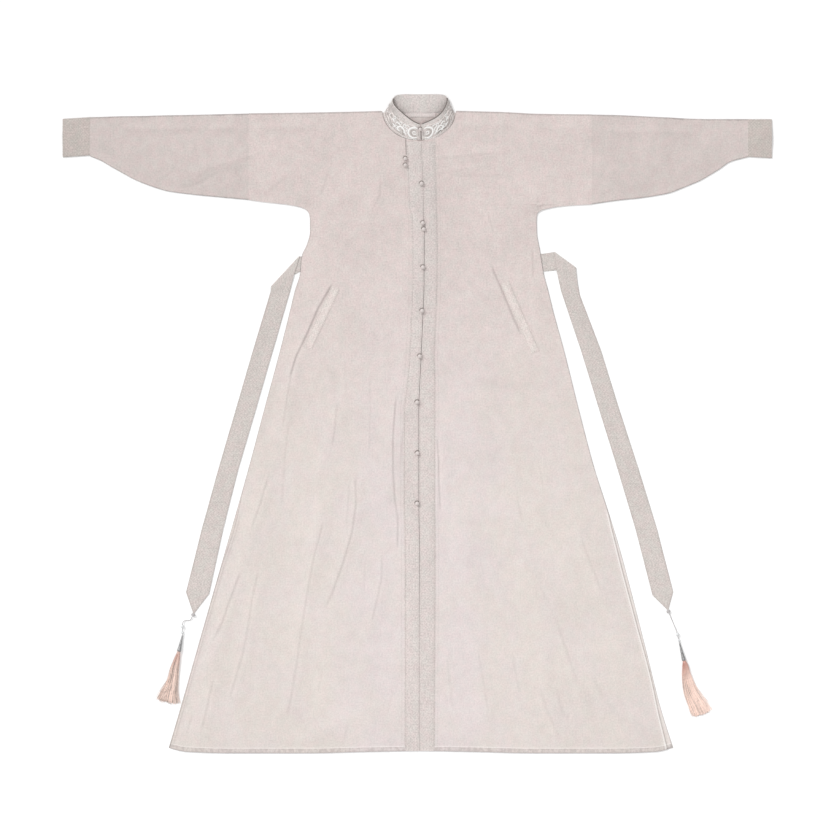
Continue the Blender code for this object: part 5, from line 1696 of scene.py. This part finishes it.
MOTIFS = rows_of(Motif, (
    # cloud head beside the centre front, its fill and its curled heart
    ("white", 3.6, 0.5, ((6.5, 23.5), (10.5, 26), (16, 25.6), (21.5, 23.8), (24.8, 19),
                         (24.6, 13), (21.4, 8.2), (16.4, 5), (10.6, 4.2), (6.4, 5.6))),
    ("grey", 2.0, 0.4, ((9, 9), (13.5, 8.4), (18, 11), (20.6, 15), (19.4, 19.4),
                        (15, 21.4), (10.6, 20))),
    ("white", 1.8, 0.5, ((8, 13), (11, 11.6), (14.6, 12.6), (16, 15.6), (14, 18),
                         (11.2, 17.2), (11.4, 14.8))),
    ("grey", 1.0, 0.6, ((4.2, 9), (3.6, 14), (4.6, 18.6))),
    # scroll that springs from the cloud
    ("white", 3.0, 0.35, ((27, 7), (31.6, 10.4), (35, 14.6), (38.6, 17.4), (43, 18),
                          (47, 15.6), (48.4, 11.6), (46, 8.6), (42.6, 9.4), (42.2, 12))),
    ("grey", 1.3, 0.4, ((29, 3.8), (35, 8.6), (39, 12.8), (43.4, 14))),
    ("white", 2.2, 0.3, ((30.6, 12.6), (28.6, 16.6), (30.6, 20.4), (34.4, 20))),
    ("white", 2.4, 0.25, ((45, 18.4), (49, 21), (53.4, 20.6), (57, 17.4))),
    ("grey", 1.1, 0.4, ((48, 17.4), (52.6, 17.6), (55.6, 14.6), (59.6, 12.6))),
    # leaves towards the side
    ("white", 2.6, 0.2, ((55, 9), (58.4, 11.6), (62.6, 11.8))),
    ("white", 2.4, 0.2, ((60, 15.6), (64, 18.4), (69, 18))),
    ("soft", 3.2, 0.3, ((66, 22), (71, 24), (76, 22.4), (78, 18.6))),
    ("soft", 3.0, 0.3, ((66, 13), (71, 15.4), (76, 14), (80, 15.6))),
    ("soft", 2.6, 0.3, ((70, 7.6), (76, 9.4), (82, 8.4))),
    ("grey", 1.0, 0.5, ((56, 6.4), (64, 8.4), (72, 11.6), (80, 12), (87, 9.4))),
    # line of sprigs under the rim
    ("soft", 2.0, 0.5, ((6, 30.4), (20, 30), (34, 28.6), (48, 27.4), (62, 27.4))),
    ("white", 1.7, 0.2, ((12, 27.6), (14.6, 29.2), (17.8, 28.2))),
    ("white", 2.0, 0.2, ((25.6, 24.4), (29, 26.8), (33, 26))),
    ("grey", 1.0, 0.3, ((22, 28), (27, 28.8), (32, 28.2), (37, 28.8))),
    ("white", 1.8, 0.2, ((42.6, 24), (46, 26), (50, 25))),
    ("grey", 1.0, 0.3, ((50, 27.6), (54.6, 24.6), (59, 25))),
    # border over the seam
    ("soft", 1.6, 0.6, ((26, 2.2), (44, 3.4), (62, 3.6), (80, 3.2), (94, 2.6))),
    ("grey", 0.7, 0.7, ((30, 4.6), (44, 5.8), (62, 5.8), (80, 5.2), (93, 4.4))),
))
BLOSSOMS = ((36.8, 23.4, 4.6), (52.6, 12.6, 4.0), (64.6, 24.0, 3.6))


@dataclass
class Embroidery:
    """Padded silk motifs on the front half of the collar: a cloud head, scrolls, blossoms and
    leaves, the same on both halves but for a bar that lies on the wearer's left alone."""

    collar: Collar
    proud: float = 0.25  # how far a motif's middle stands off the cloth
    swell: float = 1.5  # of the middle of a line

    def stroke(self, form: Form, side: Side, path: Array, width: Any, height: float = 0.9,
               proud: Optional[float] = None) -> None:
        """Add one padded line of satin stitches along a path of (along, up) places."""
        proud = self.proud if proud is None else proud
        spots, normals = self.collar.spots(side, path[:, 0], path[:, 1], proud)
        width = np.broadcast_to(width, len(path))
        tall = np.minimum(height, 0.35 + width * 0.4)
        form.cord(spots, width, tall, 8, 0.35, 0.55, above=normals[None])

    def line(self, form: Form, side: Side, motif: Motif) -> None:
        """A motif's line, smoothed and tapered."""
        points = np.array(motif.points, float)
        knots = lengths_along(points)
        at = np.linspace(0, knots[-1], 6 * len(points))
        share = np.sin(at / knots[-1] * math.pi)
        width = motif.width * (motif.taper + (1 - motif.taper) * np.minimum(share * self.swell, 1.0))
        self.stroke(form, side, smooth_rows(points, at, knots), width)

    def blossom(self, forms: dict, side: Side, middle: tuple, size: float) -> None:
        """Five rounded petals round a small knot, with grey veins."""
        swell = np.array((0.45, 0.8, 1.0, 1.08, 1.0, 0.8, 0.35))
        for angle in np.linspace(0.3, 0.3 + 2 * math.pi, 6)[:-1]:
            ahead = np.array((math.cos(angle), math.sin(angle)))
            reach = np.linspace(0.22, 1.0, 7)[:, None] * size
            self.stroke(forms["white"], side, middle + reach * ahead, 0.66 * size * swell, 1.0)
            self.stroke(forms["grey"], side, middle + (reach[:5] + 0.1) * ahead, 0.45, 0.5,
                        self.proud + 0.42)
        angle = np.linspace(0, 2 * math.pi, 14)[:, None]
        knot = middle + 0.16 * size * np.concatenate((np.cos(angle), np.sin(angle)), axis=1)
        self.stroke(forms["grey"], side, knot, 0.8, 0.8, self.proud + 0.3)

    def fill(self, forms: dict, side: Side) -> None:
        """Short curved stitches strewn between the motifs, and small loops over the seam."""
        random = np.random.default_rng(SEED + 7 + side.value)
        share = np.linspace(-0.5, 0.5, 6)[:, None]
        for silk, count in (("white", 30), ("soft", 36), ("grey", 50)):
            places = random.uniform((27, 3, 0, 1.8, -1), (104, 31, 7, 4.6, 1), (count, 5))
            for along, up, angle, size, bend in places:
                ahead = np.array((math.cos(angle), math.sin(angle)))
                bow = np.array((-ahead[1], ahead[0])) * bend * (0.25 - share**2)
                path = np.array((along, up)) + (share * ahead + bow) * size
                self.stroke(forms[silk], side, path, 1.0, 0.7)
        angle = np.linspace(0, math.pi, 7)[:, None]
        arc = np.concatenate((2.3 * np.cos(angle), 2.2 * np.sin(angle)), axis=1)
        for at in np.arange(9.0, 98.0, 5.4):
            size = 0.75 + 0.35 * math.sin(at * 1.9)
            silk = "white" if at < 36 else "soft"
            self.stroke(forms[silk], side, np.array((at, 0.4)) + arc * size, 1.2, 0.8)

    def build(self) -> None:
        """All the motifs in three silks, and the bar, whose lower line is dark."""
        forms = {"white": Form(), "soft": Form(), "grey": Form()}
        for side in Side:
            for motif in MOTIFS:
                self.line(forms[motif.silk], side, motif)
            self.fill(forms, side)
            for along, up, size in BLOSSOMS:
                self.blossom(forms, side, np.array((along, up)), size)
        for shift, width, silk in ((0.0, 2.6, "white"), (-2.4, 1.3, "dark")):
            bar = Motif(silk, width, 0.4, ((32, 9 + shift), (38, 10.4 + shift),
                                           (46, 10.8 + shift), (54, 9 + shift)))
            self.line(forms.setdefault(silk, Form()), Side.LEFT, bar)
        for silk, form in forms.items():
            form.build(f"embroidery_{silk}", Stuff[f"{silk.upper()}_SILK"])


# --- buttons
@dataclass
class Fastener:
    """A knob and the twisted loop that holds it, where the frame has them."""

    name: str
    foot: float = 0.55  # height of the knob's middle over its foot, in radii
    wire: float = 0.85
    start: float = math.radians(52)
    stop: float = math.radians(168)

    def place(self) -> tuple:
        """Middle of the knob, its radius, and the height of its loop, in millimetres."""
        low, high = (np.array(corner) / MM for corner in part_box(f"button_{self.name}"))
        ring_low, ring_high = (np.array(corner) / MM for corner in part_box(f"loop_{self.name}"))
        radius = (high[0] - low[0]) / 2
        middle = (low + high) / 2
        spot = np.array((middle[0] - SHIFT_X, SHIFT_Y - middle[1], low[2] + self.foot * radius))
        return spot, radius, (ring_low[2] + ring_high[2]) / 2

    def knob(self, form: Form) -> None:
        """A ball with a flat foot."""
        spot, radius, _ = self.place()
        angle = np.linspace(math.acos(self.foot), math.pi, 18)
        profile = joined(-np.cos(angle), np.sin(angle)) * radius
        profile = np.concatenate((((-self.foot * radius, 0.0),), profile))
        form.turned(profile, spot, UP, 28)

    def loop(self, form: Form) -> None:
        """A two-ply cord round the knob's upper side, whose ends dip into the cloth."""
        spot, radius, up = self.place()
        angle = np.linspace(self.start, self.stop, 30)
        bow = radius + 0.9
        dip = eased(0.0, 0.16, np.minimum(angle - self.start, self.stop - angle) / 2)
        path = joined(spot[0] + np.cos(angle) * bow, spot[1] - np.sin(angle) * bow, up - (1 - dip) * 1.2)
        form.cord(path, 2 * self.wire, 2 * self.wire, 10, 0.5, 0.45, 1.5, 0.1)

    def build(self) -> None:
        """Both pieces."""
        knob, loop = Form(), Form()
        self.knob(knob)
        self.loop(loop)
        knob.build(f"knob_{self.name}", Stuff.KNOB, f"button_{self.name}")
        loop.build(f"cord_loop_{self.name}", Stuff.LOOP, f"loop_{self.name}")


# --- beads and tassels
CAP = np.array((  # share of its length, radius in tips and in mouths, and hollow
    (0, 0, 0, 0), (0, 1, 0, 0.2), (0.05, 1.35, 0, 0), (0.10, 1.35, 0, 0), (0.14, 1.1, 0, 0.8),
    (0.30, 1.5, 0, 0.5), (0.44, 1.95, 0, 0.8), (0.47, 0, 0.66, 0), (0.53, 0, 0.68, 0),
    (0.56, 0, 0.62, 0.8), (0.70, 0, 0.74, 0.5), (0.84, 0, 0.90, 0.8), (0.87, 0, 0.99, 0),
    (0.93, 0, 1, 0), (0.96, 0, 0.93, 0.9), (0.98, 0, 0.95, 0.2), (1, 0, 0.9, 0.5), (1, 0, 0, 1)))


@dataclass
class Pendant:
    """Knot, cord, two beads, cap and tassel on the point of one tie."""

    side: Side
    streak: tuple  # where dark threads lie across the tassel, and how dark
    lift: float  # how much lighter its threads are
    root_colour: float = 1.0
    cord_radius: float = 0.85
    knot_radius: float = 4.4
    squash: float = 0.8
    bead_large: float = 4.0
    bead_small: float = 3.0
    bore: float = 1.35
    cap_tip: float = 1.3
    cap_mouth: float = 4.2
    tip_up: float = 2.8
    head: float = 3.5
    head_length: float = 6.0
    threads: int = 680
    tufts: int = 15
    steps: int = 20
    thread_width: float = 0.62

    def __post_init__(self) -> None:
        """Work out the middles of the pieces."""
        hanging = HANGING[self.side]
        self.knot = np.array((*hanging.knot, self.knot_radius * self.squash))
        self.large = np.array((*hanging.bead_large, self.bead_large))
        self.small = np.array((*hanging.bead_small, self.bead_small))
        self.tip = np.array((*hanging.cap_top, self.tip_up))
        self.mouth = np.array((*hanging.cap_base, self.cap_mouth))
        self.leave = unit(np.array(hanging.way[0]) - self.knot)
        self.into = unit(self.small - self.large)

    def route(self) -> Array:
        """The cord's line: from the knot, by way of its points, through both beads, to the
        cap."""
        gap, half = 0.3, self.into * self.bead_large
        stops = np.array([self.knot + self.leave * (self.knot_radius + gap),
                          *HANGING[self.side].way, self.large - half, self.large, self.large + half,
                          self.small, self.tip + unit(self.small - self.tip) * gap], float)
        knots = lengths_along(stops)
        return smooth_rows(stops, np.linspace(0, knots[-1], 110), knots)

    def build_cord(self) -> None:
        """The two-ply cord."""
        path, form, word = self.route(), Form(), self.side.word
        form.cord(path, 2 * self.cord_radius, 2 * self.cord_radius, 12, 0.45, 0.5, 1.9, 0.12)
        item = form.build(f"hanging_cord_{word}", Stuff.CORD, f"cord_{word}")

    def build_knot(self) -> None:
        """A round knot wound of cord: three rings that cross each other over a core."""
        form, word = Form(), self.side.word
        angle = np.linspace(-math.pi / 2, math.pi / 2, 13)
        core = joined(np.sin(angle), np.cos(angle) * self.squash)
        form.turned(core * self.knot_radius * 0.86, self.knot, self.leave, 20, tone=0.35)
        turn = np.linspace(0, 6 * math.pi, 150)
        ring = self.knot_radius - self.cord_radius * 0.75
        wave = 0.62 * np.sin(turn * 5 / 3)
        aside = unit(np.cross(self.leave, UP))
        third = np.cross(aside, self.leave)
        path = (self.knot + (np.cos(turn) * np.cos(wave))[:, None] * aside * ring
                + (np.sin(turn) * np.cos(wave))[:, None] * third * ring * self.squash
                + np.sin(wave)[:, None] * self.leave * ring)
        form.cord(path, 1.5 * self.cord_radius, 1.5 * self.cord_radius, 8, 0.45, 0.6)
        form.build(f"wound_knot_{word}", Stuff.CORD, f"knot_{word}")

    def build_bead(self, name: str, middle: Array, axis: Array, radius: float) -> Object:
        """A faceted bead with a bore: flat sides round its axis and two bevels each way."""
        reach = math.acos(self.bore / radius)
        angle = np.linspace(-reach, reach, 6)
        form = Form()
        form.turned(joined(np.sin(angle), np.cos(angle)) * radius, middle, axis, 9)
        name = f"{name}_{self.side.word}"
        return form.build(f"crystal_{name}", Stuff.CRYSTAL, name, sharp=15.0)

    def build_cap(self) -> Object:
        """The metal cap: a waisted cone with turned rings at its tip, middle and mouth."""
        axis, form, sides = self.mouth - self.tip, Form(), 32
        share, tips, mouths, hollow = CAP.T
        rows = joined(share * np.linalg.norm(axis), tips * self.cap_tip + mouths * self.cap_mouth)
        form.turned(rows, self.tip, axis, sides, hollow=np.tile(hollow, sides))
        word = self.side.word
        return form.build(f"silver_cap_{word}", Stuff.SILVER, f"cap_{word}", sharp=35.0)

    def build_tassel(self) -> None:
        """The tassel: a bound head, and threads that fan out and settle on the surface."""
        random, many = np.random.default_rng(SEED + self.side.value), self.threads
        run = np.array((*HANGING[self.side].tassel_end, 1.0)) - self.mouth
        length = float(np.hypot(*run[:2]))
        ahead = np.array((run[0], run[1], 0.0)) / length
        aside = np.array((ahead[1], -ahead[0], 0.0))
        start = self.mouth + ahead * 0.3
        part = np.clip(random.normal(0, 0.55, many), -1, 1)
        part = 0.4 * part + 0.6 * random.uniform(-1, 1, many)
        layer = random.uniform(0, 1, many)
        tuft = ((part + 1) * 0.5 * self.tufts + layer * 3).astype(int)
        tufts = random.uniform(-1, 1, (tuft.max() + 1, 4))[tuft]
        reach = length + random.normal(0, 1.8, many) + tufts[:, 0] * 0.8 - 1.5 * part**2
        reach = np.where(random.uniform(0, 1, many) < 0.06, reach * 0.86, reach)
        share = np.linspace(0, 1, self.steps)
        knots, *columns = zip(*FLARE[self.side])
        half, bow = (steady(knots, column, share) for column in columns)
        drift = (random.normal(0, 0.04, many) + tufts[:, 1] * 0.05)[:, None] * share
        wave = np.sin(share * (6 + 3 * tufts[:, 2])[:, None] + 3 * tufts[:, 3:]) * share * 1.1
        across = (part[:, None] + drift) * half + bow + wave
        root_up = (layer - 0.5)[:, None] * 2 * np.sqrt(np.maximum(1 - part**2, 0))[:, None] * 3.0
        top = self.mouth[2] + root_up
        rest = 0.5 + 2.9 * layer[:, None] * (1 - 0.35 * np.abs(part[:, None]))
        up = np.maximum(top + (rest - top) * eased(0.0, 0.8, share), 0.4)
        along = 1.6 + (reach[:, None] - 1.6) * share
        paths = (start * (1, 1, 0) + along[..., None] * ahead + across[..., None] * aside
                 + up[..., None] * UP)
        width = self.thread_width * (0.8 + 0.3 * share)
        rings = swept(paths, width, width * 0.9, 3)
        flecks = np.sin(along * random.uniform(0.5, 1.6, many)[:, None]
                        + random.uniform(0, 6, many)[:, None])
        # Threads lower in the tassel are darker: painted shade under the upper threads.
        tone = (0.5 + self.lift + 0.12 * tufts[:, 2] + random.uniform(-0.5, 0.5, many)
                )[:, None] * (0.8 + 0.2 * layer[:, None]) + 0.2 * flecks
        place, depth = self.streak
        fade = 1 - eased(0.5, 0.75, share)
        tone = tone - depth * fade * np.exp(-((part - place) / 0.08)**2)[:, None]
        root = self.root_colour * np.exp(-(along / 26.0)**2)
        tone, root = (np.repeat(mark, 3) for mark in (tone, root))
        form = Form()
        form.rods(rings, joined(along[..., None], np.arange(3) * 0.4), tone=tone, root=root)
        self.bind(form, start, ahead)
        word = self.side.word
        form.build(f"silk_tassel_{word}", Stuff.SILK, f"tassel_{word}", sharp=75.0)

    def bind(self, form: Form, start: Array, ahead: Array) -> None:
        """The bound head: a drum with the ribs of the thread that is wound round it."""
        along = np.linspace(0.1, self.head_length, 40)
        radius = self.head * (0.97 + 0.03 * np.cos(along * 2 * math.pi / 0.75))
        profile = np.concatenate((((0.0, 0.0), (0.0, 0.9 * self.head)), joined(along, radius),
                                  ((self.head_length, 0.0),)))
        form.turned(profile, start, ahead, 24, tone=0.35, root=self.root_colour)

    def build(self) -> None:
        """Everything that hangs, then the cord that carries it; the cap is its far end."""
        self.build_knot()
        on = self.into + unit(self.tip - self.small)
        pieces = [self.build_bead("bead_large", self.large, self.into, self.bead_large),
                  self.build_bead("bead_small", self.small, on, self.bead_small),
                  self.build_cap()]
        self.build_tassel()
        self.build_cord()


# --- camera and light
@dataclass(frozen=True)
class Studio:
    """A pale floor, plain soft light from the upper left, and a camera straight above."""

    centre: tuple = (0.0059, 0.0079)
    width: float = 1.7976  # what the picture takes in at the height of the cloth
    lens: float = 90.0
    sensor: float = 36.0
    world: float = 0.70
    sun: float = 1.45
    sun_angle: float = 22.0
    sun_height: float = 42.0
    sun_from: float = 135.0  # direction it comes from, anticlockwise from +X
    panel: tuple = (0.0, -0.45, 1.6)
    panel_size: float = 1.0
    panel_power: float = 5.0

    def build(self) -> None:
        """Make the floor, the camera and the lights."""
        bpy.ops.mesh.primitive_plane_add(size=14.0, location=(0, 0, -0.0004))
        floor = bpy.context.object
        floor.name = "floor"
        floor.data.materials.append(Stuff.FLOOR.value.material())
        scene = bpy.context.scene
        scene.view_settings.view_transform = "Standard"
        data = bpy.data.cameras.new("camera")
        data.lens, data.sensor_width = self.lens, self.sensor
        scene.camera = placed("camera", data)
        scene.camera.location = (*self.centre, self.width * self.lens / self.sensor + 0.004)
        self.light()

    def light(self) -> None:
        """A white world, a broad sun and a soft panel over the skirt."""
        world = bpy.data.worlds.new("studio")
        world.use_nodes = True
        inputs = world.node_tree.nodes["Background"].inputs
        inputs["Strength"].default_value, inputs["Color"].default_value = self.world, (1, 1, 1, 1)
        bpy.context.scene.world = world
        data = bpy.data.lights.new("sun", "SUN")
        data.energy, data.angle = self.sun, math.radians(self.sun_angle)
        item = placed("sun", data)
        high, turn = math.radians(self.sun_height), math.radians(self.sun_from)
        source = Vector((math.cos(turn) * math.cos(high), math.sin(turn) * math.cos(high), math.sin(high)))
        item.rotation_mode = "QUATERNION"
        item.rotation_quaternion = source.to_track_quat("Z", "Y")
        data = bpy.data.lights.new("panel", "AREA")
        data.energy, data.size = self.panel_power, self.panel_size
        panel = placed("panel", data)
        panel.location, panel.visible_camera = self.panel, False


# --- the whole
def main() -> None:
    """Build and dress every piece, in the order of making."""
    logging.basicConfig(level=logging.INFO, format="%(message)s")
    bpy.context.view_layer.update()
    cut = Cut()
    lie = Lie(cut)
    stitcher = Stitcher()
    body = Body(cut, lie)
    body.build_back()
    tubes, pockets, ties = [], [], []
    for side in Side:
        body.build_front(side)
        body.build_band(side)
        tubes += [Tube(f"sleeve_{side.word}", side, SLEEVE[side], 2.72, 1.2, Stuff.SLEEVE, lie),
                  Tube(f"cuff_{side.word}", side, CUFF[side], 3.0, 1.35, Stuff.TRIM, lie,
                       step=2.5, open_end=True)]
        pockets.append(Pocket(side, body))
        ties.append(Tie(side))
    for piece in (*tubes, *pockets, *ties):
        piece.build()
    body.sew(stitcher)
    sew_rest(body, stitcher, pockets, ties, tubes)
    collar = Collar(cut)
    collar.build()
    collar.pipe()
    Embroidery(collar).build()
    for name in BUTTONS:
        Fastener(name).build()
    Pendant(Side.RIGHT, streak=(-0.3, 0.8), lift=0.04, root_colour=0.5).build()
    Pendant(Side.LEFT, streak=(-0.45, 0.5), lift=0.2).build()
    Studio().build()


if __name__ == "__main__":
    main()
